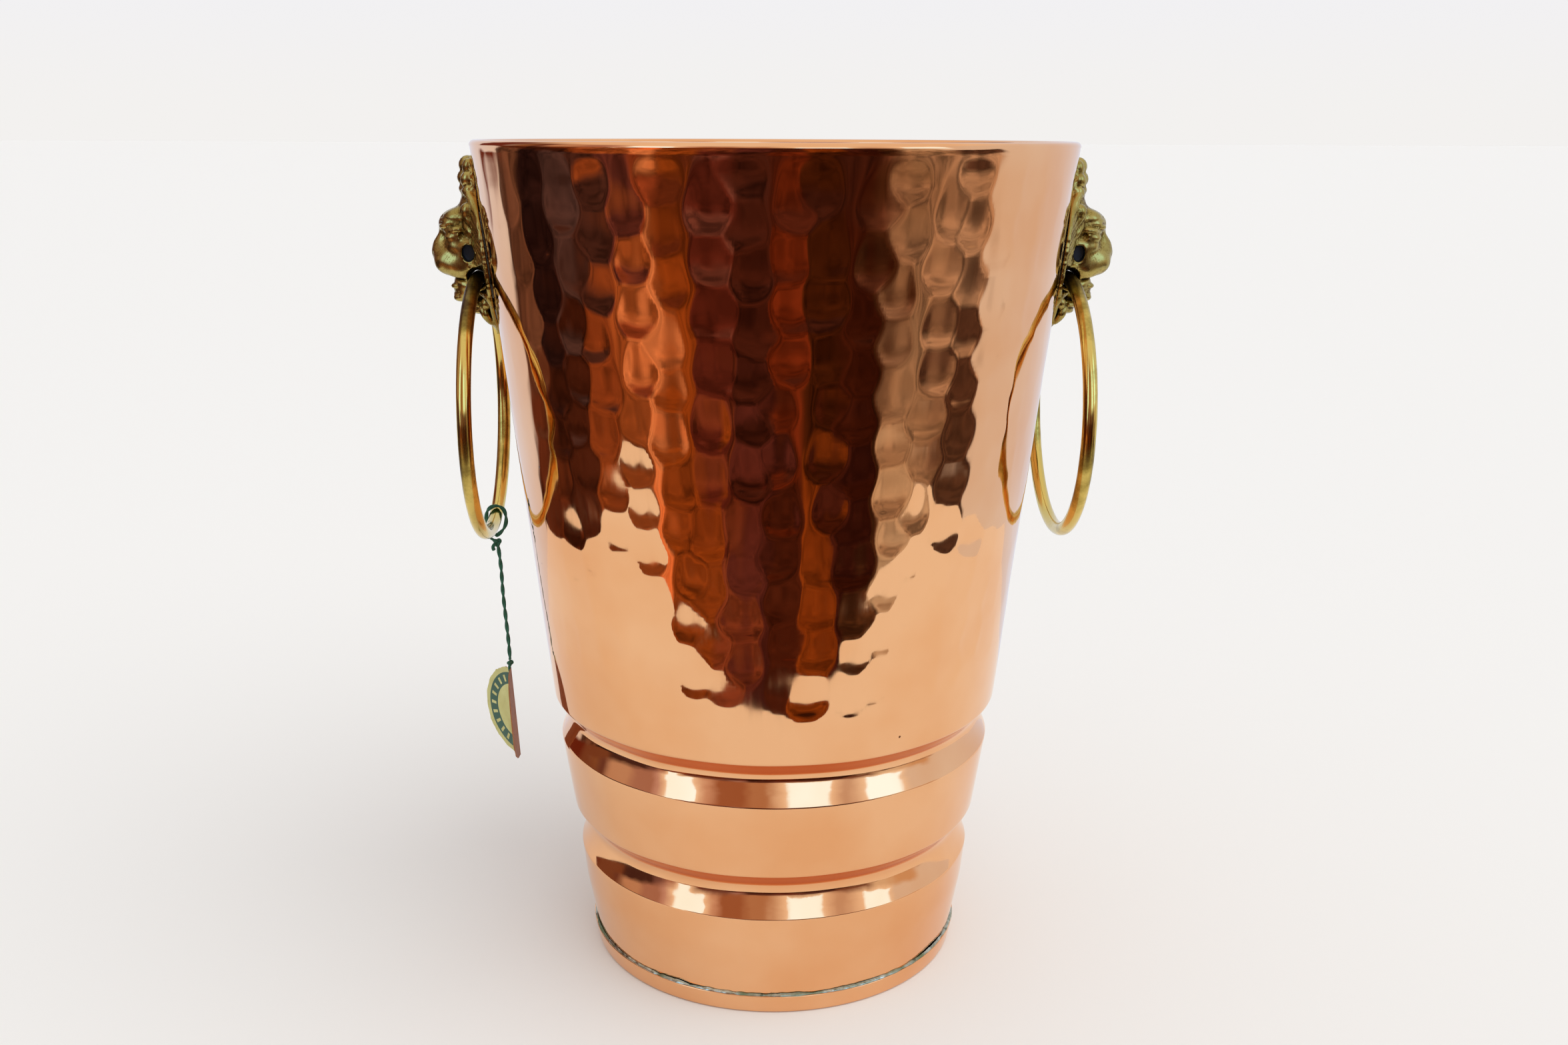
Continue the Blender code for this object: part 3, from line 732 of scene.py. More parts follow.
def skin_of(field, corner, cell):
    """The surface where the distances are zero, as points and quads."""
    size = np.array(field.shape) - 1
    total = np.zeros((*size, 3))
    count = np.zeros(size)
    crossings = []
    for axis in range(3):
        before, after = halves(axis, 1)
        low, high = field[before], field[after]
        crosses = (low < 0) != (high < 0)
        at = np.argwhere(crosses)
        place = at.astype(float)
        place[:, axis] += low[crosses] / (low[crosses] - high[crosses])
        round_it = np.repeat(at[None], 4, 0)
        round_it[:, :, (axis + 1) % 3] += np.array((0, -1, -1, 0))[:, None]
        round_it[:, :, (axis + 2) % 3] += np.array((0, 0, -1, -1))[:, None]
        inside = ((round_it >= 0) & (round_it < size)).all((0, 2))
        round_it = round_it[:, inside]
        for cube in round_it:
            np.add.at(total, tuple(cube.T), place[inside])
            np.add.at(count, tuple(cube.T), 1)
        crossings.append((round_it, low[crosses][inside] < 0))
    full = count > 0
    number = np.full(size, -1)
    number[full] = np.arange(full.sum())
    points = corner + cell * total[full] / count[full][:, None]
    faces = []
    for cubes, outward in crossings:
        quads = np.stack([number[tuple(cube.T)] for cube in cubes], 1)
        faces.append(np.where(outward[:, None], quads, quads[:, ::-1]))
    return points, np.vstack(faces)


def fullness(field, points, corner, cell, reach_mm):
    """How much of the space round each point is metal: about a half on flat metal, more in a hollow."""
    metal = (field < 0).astype(float)
    reach = max(1, round(reach_mm / cell))
    for axis in (0, 1, 2, 0, 1, 2):
        padded = np.pad(metal, [(reach + 1, reach) if k == axis else (0, 0) for k in range(3)], mode="edge")
        summed = np.cumsum(padded, axis)
        before, after = halves(axis, 2 * reach + 1)
        metal = (summed[after] - summed[before]) / (2 * reach + 1)
    at = np.clip(np.round((points - corner) / cell).astype(int), 0, np.array(field.shape) - 1)
    return metal[tuple(at.T)]


# The lion's head, in millimetres: (across, up) or (across, up, out) from its seat

# Half widths of the mask's plate at each height up it
PLATE_OUTLINE = (
    (-1.0, 0.3), (0.6, 1.6), (4.2, 6.3), (9.2, 11.0), (13.6, 14.6), (17.6, 16.4), (24.1, 17.8),
    (28.2, 17.8), (32.1, 17.3), (35.8, 16.0), (39.9, 13.6), (43.4, 11.0), (45.7, 8.8), (48.2, 8.3),
    (53.2, 7.4), (56.7, 5.0), (58.4, 1.6),
)
PLATE_TOP = 58.3
SCALLOP_PITCH = 4.3
SCALLOP_DEPTH = 0.55
LOCK_HEIGHTS = (43.2, 39.6, 35.8, 31.8, 27.6, 23.4, 19.2, 15.2)
SHORT_LOCK_HEIGHTS = (38.6, 34.4, 20.4, 16.4)
# A lock's run from the face to the plate's edge: the share of the way, its rise and how far out it lies
LOCK_RUN = (
    (0.0, 3.4, 3.2), (0.2, 2.8, 2.9), (0.45, 0.6, 2.0), (0.62, -2.0, 1.5), (0.82, -3.8, 1.1),
    (1.0, -6.0, 0.9),
)
LOCK_SIZES = (0.9, 1.6, 1.9, 1.8, 1.4, 0.5)
# The plume's tiers: height, width, length, how far out, thickness, and how far its side leaves stand apart
PLUME_TIERS = (
    (55.4, 3.2, 3.3, 2.6, 3.2, 4.0), (51.6, 3.6, 3.1, 3.4, 3.5, 5.2), (48.0, 3.3, 2.7, 3.3, 3.6, 5.8),
)


def plate_half(height):
    heights, halves_at = zip(*PLATE_OUTLINE)
    return np.interp(height, heights, halves_at)


def model_plate(clay):
    """The flat back plate, its edge scalloped by the ends of the mane's locks."""

    def distance(u, v, w):
        scallop = SCALLOP_DEPTH * (1 - abs(np.sin(v * math.pi / SCALLOP_PITCH)))
        edge = (u - plate_half(v) + scallop) * 0.8
        return np.maximum(np.maximum(edge, w - MASK_PLATE), np.maximum(GAP - w, v - PLATE_TOP))

    clay.work((0, -0.5, 0), (18.5, MASK_HEIGHT, 2), distance, 0.01)


def model_mane(clay):
    """Wavy locks round the face, low on the plate, that flow outwards and down to its scalloped edge."""
    rng = np.random.default_rng(SEED + 5)
    for height in LOCK_HEIGHTS:
        drop = rng.uniform(-0.4, 0.4)
        line = []
        for share, rise, out in LOCK_RUN:
            up = height + rise + drop
            line.append((7.6 + (plate_half(up) - 8.0) * share, up, out))
        clay.lock(line, LOCK_SIZES, 0.3)
        for side in (-0.55, 0.5):
            hair = [(u - side * 0.55, v - side, w + r * 0.82) for (u, v, w), r in zip(line, LOCK_SIZES)]
            clay.lock(hair, (0.12, 0.26, 0.3, 0.28, 0.22, 0.1), 0.3, carve=True)
    for height in SHORT_LOCK_HEIGHTS:
        line = [(7.0, height + 3, 5.6), (8.4, height + 2, 5.2), (9.8, height, 4.2), (10.2, height - 2.2, 3.2)]
        clay.lock([*line, (11.2, height - 4.2, 2.3)], (0.8, 1.3, 1.4, 1.2, 0.5))


def model_plume(clay):
    """Three stepped tiers of broad leaves above the forehead, each leaf with a vein down its middle."""
    clay.lump((0, 46.5, 2.0), (7.4, 5.2, 4.3))
    for centre, width, length, out, thick, spread in PLUME_TIERS:
        clay.lump((0, centre, out), (width, length, thick), 0.2)
        clay.lump((spread, centre - 0.9, out - 0.9), (2.6, length, thick - 0.7), 0.2, tilt=-24)
        clay.groove([(0, centre + length * 0.8), (0, centre - length)], 0.35, 0.3)
        clay.groove([(spread + 0.9, centre + 1.2), (spread * 0.7, centre - 3.0)], 0.3, 0.25)
        clay.groove([(0.6, centre - length * 0.9), (spread * 1.2, centre - length * 1.1)], 0.4, 0.5)


def model_ears(clay):
    """Small round ears at the temples, with a tuft in each."""
    clay.lump((8.7, 40.6, 4.0), (2.6, 3.2, 2.8), 0.4, tilt=-28)
    clay.lump((8.8, 40.4, 7.0), (1.4, 2.0, 2.2), 0.3, tilt=-28, carve=True)
    for lean in (-0.9, 0.0, 0.9):
        tuft = [(7.8, 38.8, 4.8), (8.4 + lean * 0.5, 40.2, 5.4), (8.7 + lean, 41.8, 5.7)]
        clay.lock(tuft, (0.55, 0.45, 0.2), 0.15)


def model_skull(clay):
    """Skull, neck, the dome of the forehead, and the brows with two folds that run back from them."""
    clay.lump((0, 36.0, 2.5), (9.0, 10.0, 7.4), 1.2)
    clay.lump((0, 25.5, 2.5), (8.7, 12.5, 7.6), 1.2)
    clay.lump((0, 43.2, 1.8), (6.6, 4.4, 5.0), 1.2)
    clay.lump((0, 37.6, 6.4), (7.2, 5.2, 8.9), 1.2)
    clay.lump((3.6, 38.4, 7.2), (3.6, 3.8, 6.0), 1.0)
    clay.groove([(0, 44.0), (0, 41.0), (0, 37.6)], 0.8, 0.45)
    clay.lump((3.0, 36.7, 11.2), (3.4, 1.5, 3.7), 0.6, tilt=10)
    clay.lump((6.4, 35.7, 8.6), (2.6, 1.3, 3.2), 0.6, tilt=-20)
    for lift in (0.2, 2.0):
        fold = [(2.2, 38.0 + lift), (4.6, 37.6 + lift), (6.8, 36.3 + lift), (8.6, 34.5 + lift)]
        clay.groove(fold, 0.42, 0.32)


def model_eyes(clay):
    """For each eye a socket, a ball and two lids that meet at the corners, with the cheekbone under them."""
    clay.lump((4.9, 33.4, 15.4), (2.8, 1.8, 3.4), 1.2, tilt=-6, carve=True)
    clay.lump((5.2, 33.2, 9.6), (3.0, 2.1, 3.7), 0.5, tilt=-8)
    upper_lid = [(2.0, 33.4, 12.6), (3.7, 34.9, 12.9), (5.8, 35.0, 11.6), (8.1, 33.6, 8.6)]
    lower_lid = [(2.0, 33.0, 12.4), (3.8, 31.5, 12.5), (5.8, 31.3, 11.2), (8.1, 32.4, 8.6)]
    clay.lock(upper_lid, (0.3, 0.7, 0.8, 0.5), 0.5)
    clay.lock(lower_lid, (0.3, 0.6, 0.7, 0.4), 0.5)
    clay.lump((5.2, 30.2, 9.0), (3.0, 2.6, 4.0), 1.4, tilt=-10)
    clay.lump((5.6, 27.4, 6.4), (3.2, 5.4, 5.2), 1.4)


def model_muzzle(clay):
    """Nose and nostrils, and two full pads with the furrow between them and rows of whisker pits."""
    clay.lock([(0, 37.0, 12.4), (0, 33.6, 13.9), (0, 30.8, 15.4), (0, 28.8, 16.2)], (2.3, 2.3, 2.8, 2.7), 1.4)
    clay.lump((1.8, 29.3, 15.2), (1.8, 1.8, 2.5), 0.9)
    clay.pit((1.5, 28.1, 18.0), 0.7, 0.7)
    clay.lump((0, 26.8, 10.0), (5.4, 7.2, 8.7), 1.6)
    clay.lump((2.6, 25.3, 11.2), (4.5, 5.3, 7.1), 1.2)
    clay.lump((4.6, 23.6, 9.0), (3.5, 4.6, 5.6), 1.2)
    clay.groove([(0, 27.6), (0, 24.0), (0, 20.6)], 0.34, 0.6)
    for height, places in ((26.6, (2.7, 4.1, 5.3)), (24.9, (2.4, 3.8, 5.2)), (23.2, (2.9, 4.3))):
        for across in places:
            clay.pit((across, height, 18.3 - 0.2 * across**2 - 0.1 * (25.5 - height) ** 2), 0.36, 0.26)


def model_jaw(clay):
    """The block that the bar passes through, the mouth and lips, the flared chin and its pointed beard."""
    clay.lump((0, 17.4, 5.6), (6.9, 6.4, 7.6), 0.7)
    clay.lump((0, 14.4, 8.4), (5.0, 3.8, 5.6), 0.6)
    clay.groove([(0, 20.2), (2.8, 19.7), (5.6, 18.4), (7.0, 16.6)], 0.42, 1.0)
    clay.lump((1.6, 16.9, 11.4), (2.6, 1.3, 2.9), 0.3)
    clay.lump((1.3, 12.9, 11.2), (2.7, 1.6, 2.9), 0.4)
    clay.groove([(0, 15.0), (3.8, 14.6)], 0.35, 0.45)
    clay.lump((0, 9.9, 5.0), (6.9, 1.9, 5.2), 0.3)
    clay.lump((0, 7.9, 4.4), (6.6, 1.6, 4.4), 0.4)
    clay.groove([(0, 9.0), (6.8, 9.2)], 0.3, 0.4)
    for root, tip, end in ((0.9, 0.4, 0.4), (3.0, 1.5, 1.5), (5.0, 3.0, 3.2)):
        line = [(root, 9.4, 4.6), (root + 0.7, 6.6, 3.8), (tip + 0.7, 3.8, 2.4), (tip, end, 1.0)]
        clay.lock(line, (1.4, 1.6, 1.3, 0.5), 0.25)
    clay.lump((6.2, 10.2, 2.6), (1.9, 2.1, 2.3), 0.4)
    clay.pit((6.4, 10.0, 4.9), 0.6, 0.9)


def cut_working_holes(clay):
    """The hole that the ring's bar lies in, the room the ring swings in, and a drilled hole in each cheek."""
    out, up = RING_SEAT
    bore = RING_BAR / 2 + RING_PLAY
    close_bore = RING_BAR / 2 + 0.2
    close_half = 2.4

    def jaw_hole(u, v, w):
        """Wide at its mouth, and close round the bar in the middle of the jaw."""
        wide = u > close_half
        away = np.sqrt((v - up - np.where(wide, 0.09, 0)) ** 2 + (w - out) ** 2)
        return np.maximum(away - np.where(wide, bore, close_bore), u - JAW_HALF - 1.4)

    def swing_room(u, v, w):
        drop = RING_RADIUS - np.sqrt(RING_RADIUS**2 - np.minimum(u, 30) ** 2)
        around = np.sqrt((v - up) ** 2 + (w - out) ** 2) - (RING_BAR / 2 + SWING_ROOM + drop)
        return np.maximum(np.maximum(around, JAW_HALF - u), MASK_PLATE + 0.02 - w)

    def cheek_hole(u, v, w):
        away = np.sqrt(((v - CHEEK_HOLE[0]) / 2.8) ** 2 + ((w - CHEEK_HOLE[1]) / 2.0) ** 2)
        return np.maximum((away - 1) * 2.3, 5.2 - u)

    clay.work((0, up - 4, out - 4), (9, up + 4, out + 4), jaw_hole, 0.25, carve=True)
    clay.work((JAW_HALF, up - 8, 0), (19, up + 8, 20), swing_room, 0.25, carve=True)
    clay.work((4, 23, 2), (14, 32, 10), cheek_hole, 0.15, carve=True)


def lion_head(name, brass):
    """The casting's skin as a mesh in the frame of its seat: X out of the wall, Y across, Z up."""
    clay = Clay((0, -1.4, -0.4), (19.4, 59.6, 20.4), CLAY_CELL)
    for model in (model_plate, model_mane, model_plume, model_ears):
        model(clay)
    for model in (model_skull, model_eyes, model_muzzle, model_jaw, cut_working_holes):
        model(clay)
    field, corner = clay.whole()
    grid = np.stack(np.meshgrid(*[np.arange(n) for n in field.shape], indexing="ij"), -1) * CLAY_CELL + corner
    field = np.maximum(field + CAST_ROUGHNESS * ripple(grid, SEED + 6, CAST_WAVE), GAP - grid[..., 2])
    points, faces = skin_of(field, corner, CLAY_CELL)
    hollow = fullness(field, points, corner, CLAY_CELL, HOLLOW_REACH)
    across, up, out = relaxed(points, faces, 2).T
    # The back was bedded to the body, so that the whole casting is bent round it a little
    wall = wall_radius(HEIGHT - MASK_TOP_BELOW_RIM - MASK_HEIGHT + up)
    bent = out - wall + np.sqrt(wall**2 - across**2)
    mesh = mesh_of(name, np.stack([bent, across, up], 1), faces[:, ::-1], [brass])
    hole_shade_mask = np.hypot((up - CHEEK_HOLE[0]) / 2.95, (out - CHEEK_HOLE[1]) / 2.15) < 1
    give_attribute(mesh, "hollow", hollow)
    # Marks the inside of each cheek hole, which is painted dark as the shade in it
    give_attribute(mesh, "drilled", hole_shade_mask & (abs(across) > 4.9) & (abs(across) < 8.2))
    return mesh


def seat_matrix(side):
    """The frame of a mask's seat on the wall. side is +1 or -1."""
    height = HEIGHT - MASK_TOP_BELOW_RIM - MASK_HEIGHT * math.cos(WALL_LEAN)
    place = Vector((wall_radius(height), 0, height)) * MM
    seat = Matrix.Translation(place) @ Matrix.Rotation(WALL_LEAN, 4, "Y")
    return seat if side > 0 else Matrix.Rotation(math.pi, 4, "Z") @ seat


def ring_pivot(side):
    """The middle of the ring's bar in its jaw."""
    return seat_matrix(side) @ Vector((RING_SEAT[0] * MM, 0, RING_SEAT[1] * MM))


def build_masks(brass):
    mesh = lion_head("lion_head", brass)
    for hand, side in (("right", 1), ("left", -1)):
        mask = place_object(f"{hand}_lion_head", mesh, seat_matrix(side))
        settle(mask, "bucket", f"{hand}_lion_mask")


def build_rings(brass):
    """Each ring is drawn bar, bent round and dressed at its joint. Age has pitted it low down."""
    turn = angles_of(RING_AROUND)
    angle = angles_of(RING_SIDES)
    out = np.stack([np.zeros(RING_AROUND), np.sin(turn), np.cos(turn)], 1)
    ring = np.cos(angle)[None, :, None] * out[:, None] + np.sin(angle)[None, :, None] * np.array((1.0, 0, 0))
    base = RING_RADIUS * (out - (0, 0, 1))[:, None] + ring * RING_BAR / 2
    depth = -base[..., 2]
    for hand, side in (("right", 1), ("left", -1)):
        uneven = 0.022 * ripple(base, SEED + 8 + side, 21) + 0.008 * ripple(base, SEED + 11 + side, 4)
        pits = np.clip(ripple(base, SEED + 14 + side, 1.9, 14) - 1.9, 0, 1) * np.clip((depth - 50) / 22, 0, 1)
        points = base - ring * (np.abs(uneven) + PIT_DEPTH * pits)[..., None]
        mesh = mesh_of(f"{hand}_ring_bar", points.reshape(-1, 3), strips(RING_AROUND, RING_SIDES), [brass])
        # Brown where the bar turns in the jaw, and again half way down, where hands rarely reach
        tarnish = 0.85 * np.exp(-((depth / 15) ** 2)) + 0.5 * np.exp(-(((depth - 58) / 10) ** 2))
        tarnish = tarnish + 0.16 * ripple(base, SEED + 17 + side, 17)
        tarnish = tarnish + 0.10 * ripple(base, SEED + 20 + side, 5)
        give_attribute(mesh, "tarnish", np.clip(tarnish + 1.4 * pits, 0, 1).reshape(-1))
        piece = place_object(f"{hand}_ring_handle", mesh, Matrix.Translation(ring_pivot(side)))
        settle(piece, f"{hand}_handle", f"{hand}_ring")


# String and tag


def tag_pivot():
    """The middle of the string's loop, on the centre of the left ring's bar."""
    return ring_pivot(-1) + RING_RADIUS * MM * Vector((0, math.sin(STRING_LEAN), -1 - math.cos(STRING_LEAN)))


def knot_of(radius, strand, centre, turn=0.0):
    """A tube along a trefoil, the run of a thumb knot drawn tight."""
    t = np.linspace(0, math.tau, 60, endpoint=False)
    across, out, up = np.sin(t) + 2 * np.sin(2 * t), -np.sin(3 * t) * 1.1, np.cos(t) - 2 * np.cos(2 * t)
    shape = np.stack([across, out, up], 1) / 3
    spin = np.array(Matrix.Rotation(turn, 3, "Z"))
    return tube(shape * radius @ spin.T + centre, strand, closed=True)


def cut_end(start, steps, size, end_size, smooth):
    """A cut end of string from a knot, through the places counted from it."""
    line = smooth_line([start, *(start + step for step in steps)], smooth)
    return tube(line, np.linspace(size, end_size, len(line)))


def green_piece(name, parts, node, cotton):
    piece = place_object(name, mesh_of(name, *joined(parts), [cotton]), Matrix.Translation(tag_pivot()))
    return settle(piece, "tag", node)


def loop_line():
    """The drop-shaped loop round the bar, with its point below."""
    radius = RING_BAR / 2 / math.cos(STRING_LEAN) + STRAND_OFFSET + STRAND_RADIUS + LOOP_SLACK
    line = []
    for angle in angles_of(64):
        away = max(0.0, abs(math.pi - abs(angle - math.pi)) - LOOP_SHOULDER) / (math.pi - LOOP_SHOULDER)
        reach = radius + (LOOP_DROP - radius) * away**2
        line.append((reach * math.sin(angle), 0.25 * math.sin(3 * angle), reach * math.cos(angle)))
    return np.array(line + [line[0]])


def build_string(cotton):
    """The hitch round the ring, its knot with two cut ends, the twisted drop, and the knot at the card."""
    route = np.array(STRING_POINTS) / MM
    knot = np.array((0, 0, -LOOP_DROP - LOOP_STRAND / 2 - GAP - KNOT_RADIUS))
    low = route[-1] - (0, 0, TAG_KNOT_RADIUS + GAP)
    drop_line = smooth_line(np.vstack([knot, route]), 8)
    hitch = green_piece("string_hitch", [twisted(loop_line(), closed=True)], "string_loop", cotton)
    bow = green_piece("string_knot_tied", [
        knot_of(1.25, 0.5, knot),
        cut_end(knot, [(-1.0, -0.7, -0.7), (-1.5, -0.8, -1.7), (-1.3, -0.5, -2.7)], 0.55, 0.7, 5),
        cut_end(knot, [(-1.2, -0.3, 0.9), (-2.3, -0.2, 1.6), (-3.1, 0.1, 2.5)], 0.55, 0.42, 5),
    ], "string_knot", cotton)
    drop = green_piece("string_drop", [twisted(drop_line)], "tag_string", cotton)
    small = green_piece("string_knot_at_card", [
        knot_of(0.95, 0.45, low, 0.8),
        cut_end(low, [(-0.3, -0.5, -1.3), (-0.2, -0.9, -2.6), (0.1, -0.8, -3.9)], 0.55, 0.4, 6),
    ], "tag_knot", cotton)
    return hitch, bow, drop, small, low, drop_line


def leaf_points(way, bow, seed):
    """One half of the round card: a grid from its middle outwards, bowed and rippled, with a ragged edge."""
    angles = np.linspace(0, math.pi, 49)
    reach = np.linspace(0, 1, 15)[:, None]
    ragged = 1 - 0.018 * np.abs(np.sin(angles * 9 + seed)) - 0.012 * np.abs(np.sin(angles * 23 + 2 * seed))
    radius = TAG_RADIUS * reach * (1 + (ragged[None] - 1) * reach**6)
    out = radius * np.sin(angles)[None]
    up = radius * np.cos(angles)[None]
    along = np.array((math.cos(way), math.sin(way), 0))
    across = np.array((-math.sin(way), math.cos(way), 0))
    wave = ripple(np.stack([out, up, np.zeros_like(out)], -1), SEED + 23 + seed, 9)
    lift = bow * (out / TAG_RADIUS) ** 2 * 2.2 + 0.14 * wave * (out / TAG_RADIUS) ** 0.7
    return out[..., None] * along + up[..., None] * np.array((0, 0, 1.0)) + lift[..., None] * across


def card_faces(rows, columns):
    """The faces of a closed round sheet's two sides and its edge, with finish 0 for the printed side."""
    number = np.arange(rows * columns).reshape(rows, columns)
    back = rows * columns
    faces = []
    finishes = []
    for row in range(rows - 1):
        for column in range(columns):
            after = (column + 1) % columns
            quad = (number[row, column], number[row, after], number[row + 1, after], number[row + 1, column])
            if row == 0:
                quad = (number[0, 0], quad[2], quad[3])
            faces += [quad, tuple(i + back for i in quad[::-1])]
            finishes += [0, 1]
    for low, high in zip(number[-1], np.roll(number[-1], -1)):
        faces.append((low, high, high + back, low + back))
        finishes.append(1)
    return faces, finishes


def build_card(print_side, back_side, top):
    """The folded card: two leaves of one closed sheet. Its printed side faces into the fold."""
    front = leaf_points(TAG_FRONT_LEAF, 0.5, 0)
    back = leaf_points(TAG_BACK_LEAF, 0.35, 1)
    sheet = np.concatenate([front[:, ::-1], back[:, 1:-1]], 1)
    # Into the fold is the side that the two leaves close towards
    middle = (TAG_FRONT_LEAF + TAG_BACK_LEAF) / 2
    inside = np.array((math.cos(middle), math.sin(middle), 0)) * TAG_THICKNESS / 2
    points = np.vstack([(sheet + shift).reshape(-1, 3) for shift in (inside, -inside)])
    faces, finishes = card_faces(*sheet.shape[:2])
    mesh = mesh_of("card_leaves", points, faces, [print_side, back_side], 50)
    mesh.polygons.foreach_set("material_index", finishes)
    below = TAG_KNOT_RADIUS + GAP + TAG_RADIUS
    centre = tag_pivot() + Vector(top) * MM + Vector((below * math.sin(TAG_LEAN), 0, -below)) * MM
    card = place_object("paper_tag", mesh, Matrix.Translation(centre) @ Matrix.Rotation(-TAG_LEAN, 4, "Y"))
    return settle(card, "tag", "tag_card")


def build_tag(cotton, print_side, back_side):
    """The string, and the card hung from the string's lower knot."""
    hitch, bow, drop, small, low, drop_line = build_string(cotton)
    card = build_card(print_side, back_side, low)


# Materials


def polished_copper():
    """Lacquered sheet copper, planished and buffed: near mirror, golden orange, with faint upright streaks.

    A few dark specks lie under the lacquer, and the colour is slightly deeper in slow patches.
    """
    made, add, place = new_material("polished_copper", {"Metallic": 1.0})
    patches = add("TexNoise", {"Vector": place, "Scale": 1 / (42 * MM), "Detail": 3.0})
    colour = turning_to(add, "#F4BC8B", "#EEAE79", patches, 0.38, 0.66)
    # Painted shade: darker copper where the wall turns in under each step
    recess = add("Attribute", attribute_name="recess").outputs["Fac"]
    colour = add("Mix", [recess, colour, "#C8703E"])
    # Specks: the middles of a few scattered cells, about a millimetre across
    cells = add("TexVoronoi", {"Vector": place, "Scale": 1 / (19 * MM)})
    tint = add("SeparateColor", [cells.outputs["Color"]])
    rare = add("Math", [tint, 0.72], operation="GREATER_THAN")
    near = add("MapRange", [cells, 0.028, 0.014])
    speck = add("Math", [near, rare], operation="MULTIPLY")
    add("Mix", [speck, colour, "#5A3420"], to="Base Color")
    upright = add("Mapping", {"Vector": place, "Scale": (1.0, 1.0, 0.06)})
    streaks = add("TexNoise", {"Vector": upright, "Scale": 1 / (2.4 * MM), "Detail": 4.0, "Roughness": 0.6})
    gloss = add("MapRange", [streaks, 0.3, 0.75, 0.03, 0.085])
    add("Math", [speck, 0.3, gloss], operation="MULTIPLY_ADD", to="Roughness")
    grain = add("Mapping", {"Vector": place, "Scale": (1.0, 1.0, 0.2)})
    hairs = add("TexNoise", {"Vector": grain, "Scale": 1 / (0.9 * MM), "Detail": 3.0})
    add("Bump", {"Height": hairs, "Strength": 0.1, "Distance": 0.004 * MM}, to="Normal")
    return made


def satin_copper():
    """The inside: the same copper left from the spinning, duller and browner, with rings and water marks."""
    made, add, place = new_material("satin_copper", {"Metallic": 1.0})
    marks = add("TexNoise", {"Vector": place, "Scale": 1 / (18 * MM), "Detail": 5.0, "Roughness": 0.6})
    turning_to(add, "#E2A478", "#BA7C54", marks, 0.35, 0.7, to="Base Color")
    level = add("Mapping", {"Vector": place, "Scale": (0.08, 0.08, 1.0)})
    rings = add("TexNoise", {"Vector": level, "Scale": 1 / (1.1 * MM), "Detail": 3.0})
    add("MapRange", [rings, 0.3, 0.7, 0.2, 0.36], to="Roughness")
    return made


def cast_brass():
    """Sand-cast brass, bright on its high places and dark olive brown with old polish in its hollows."""
    made, add, place = new_material("cast_brass", {})
    grain = add("TexNoise", {"Vector": place, "Scale": 1 / (1.6 * MM), "Detail": 4.0, "Roughness": 0.6})
    blotch = add("TexNoise", {"Vector": place, "Scale": 1 / (8 * MM), "Detail": 3.0})
    hollow = add("Attribute", attribute_name="hollow").outputs["Fac"]
    depth = add("Math", [blotch, 0.22, hollow], operation="MULTIPLY_ADD")
    colour = turning_to(add, "#B4A05C", "#968040", blotch, 0.38, 0.66)
    colour = turning_to(add, colour, "#7C612A", depth, 0.6, 0.7)
    colour = turning_to(add, colour, "#2B1E0D", depth, 0.71, 0.84)
    # Painted shade: the inside of each cheek hole is painted dark blue-grey and mostly not metal
    hole = add("Attribute", attribute_name="drilled").outputs["Fac"]
    add("Mix", [hole, colour, "#262A33"], to="Base Color")
    add("Math", [hole, -0.8, 1.0], operation="MULTIPLY_ADD", to="Metallic")
    add("MapRange", [depth, 0.56, 0.84, 0.24, 0.55], to="Roughness")
    add("Bump", {"Height": grain, "Strength": 0.25, "Distance": 0.05 * MM}, to="Normal")
    return made


def bar_brass():
    """Drawn brass bar: golden where hands polish it, brown where it turns in the jaw and in its pits."""
    made, add, place = new_material("bar_brass", {"Metallic": 1.0})
    fine = add("TexNoise", {"Vector": place, "Scale": 1 / (1.1 * MM), "Detail": 3.0})
    tarnish = add("Attribute", attribute_name="tarnish").outputs["Fac"]
    worn = add("Math", [fine, 0.4, tarnish], operation="MULTIPLY_ADD")
    colour = turning_to(add, "#DCC06A", "#A68E44", worn, 0.3, 0.7)
    turning_to(add, colour, "#5A4420", worn, 0.7, 1.15, to="Base Color")
    add("MapRange", [worn, 0.3, 1.1, 0.13, 0.38], to="Roughness")
    add("Bump", {"Height": fine, "Strength": 0.15, "Distance": 0.03 * MM}, to="Normal")
    return made


def turned_brass():
    """Plain turned brass of the studs, washers and nuts, dull from damp."""
    made, add, place = new_material("turned_brass", {"Metallic": 1.0})
    damp = add("TexNoise", {"Vector": place, "Scale": 1 / (2.5 * MM), "Detail": 3.0})
    turning_to(add, "#CBA75A", "#8E7238", damp, 0.35, 0.7, to="Base Color")
    add("MapRange", [damp, 0.3, 0.7, 0.25, 0.42], to="Roughness")
    return made


def soft_solder():
    """Wiped tin solder: pale grey metal, with green and dark tarnish where flux was left."""
    made, add, place = new_material("soft_solder", {})
    broad = add("TexNoise", {"Vector": place, "Scale": 1 / (16 * MM), "Detail": 2.0})
    small = add("TexNoise", {"Vector": place, "Scale": 1 / (2.2 * MM), "Detail": 4.0, "Roughness": 0.65})
    colour = turning_to(add, "#C9C5B4", "#8C8A72", small, 0.35, 0.65)
    green = add("MapRange", [broad, 0.5, 0.64])
    colour = add("Mix", [green, colour, "#6F7A58"])
    turning_to(add, colour, "#3A3A2C", small, 0.6, 0.72, to="Base Color")
    add("MapRange", {"Value": green, "To Min": 0.22, "To Max": 0.5}, to="Roughness")
    add("MapRange", {"Value": green, "To Min": 1.0, "To Max": 0.45}, to="Metallic")
    return made


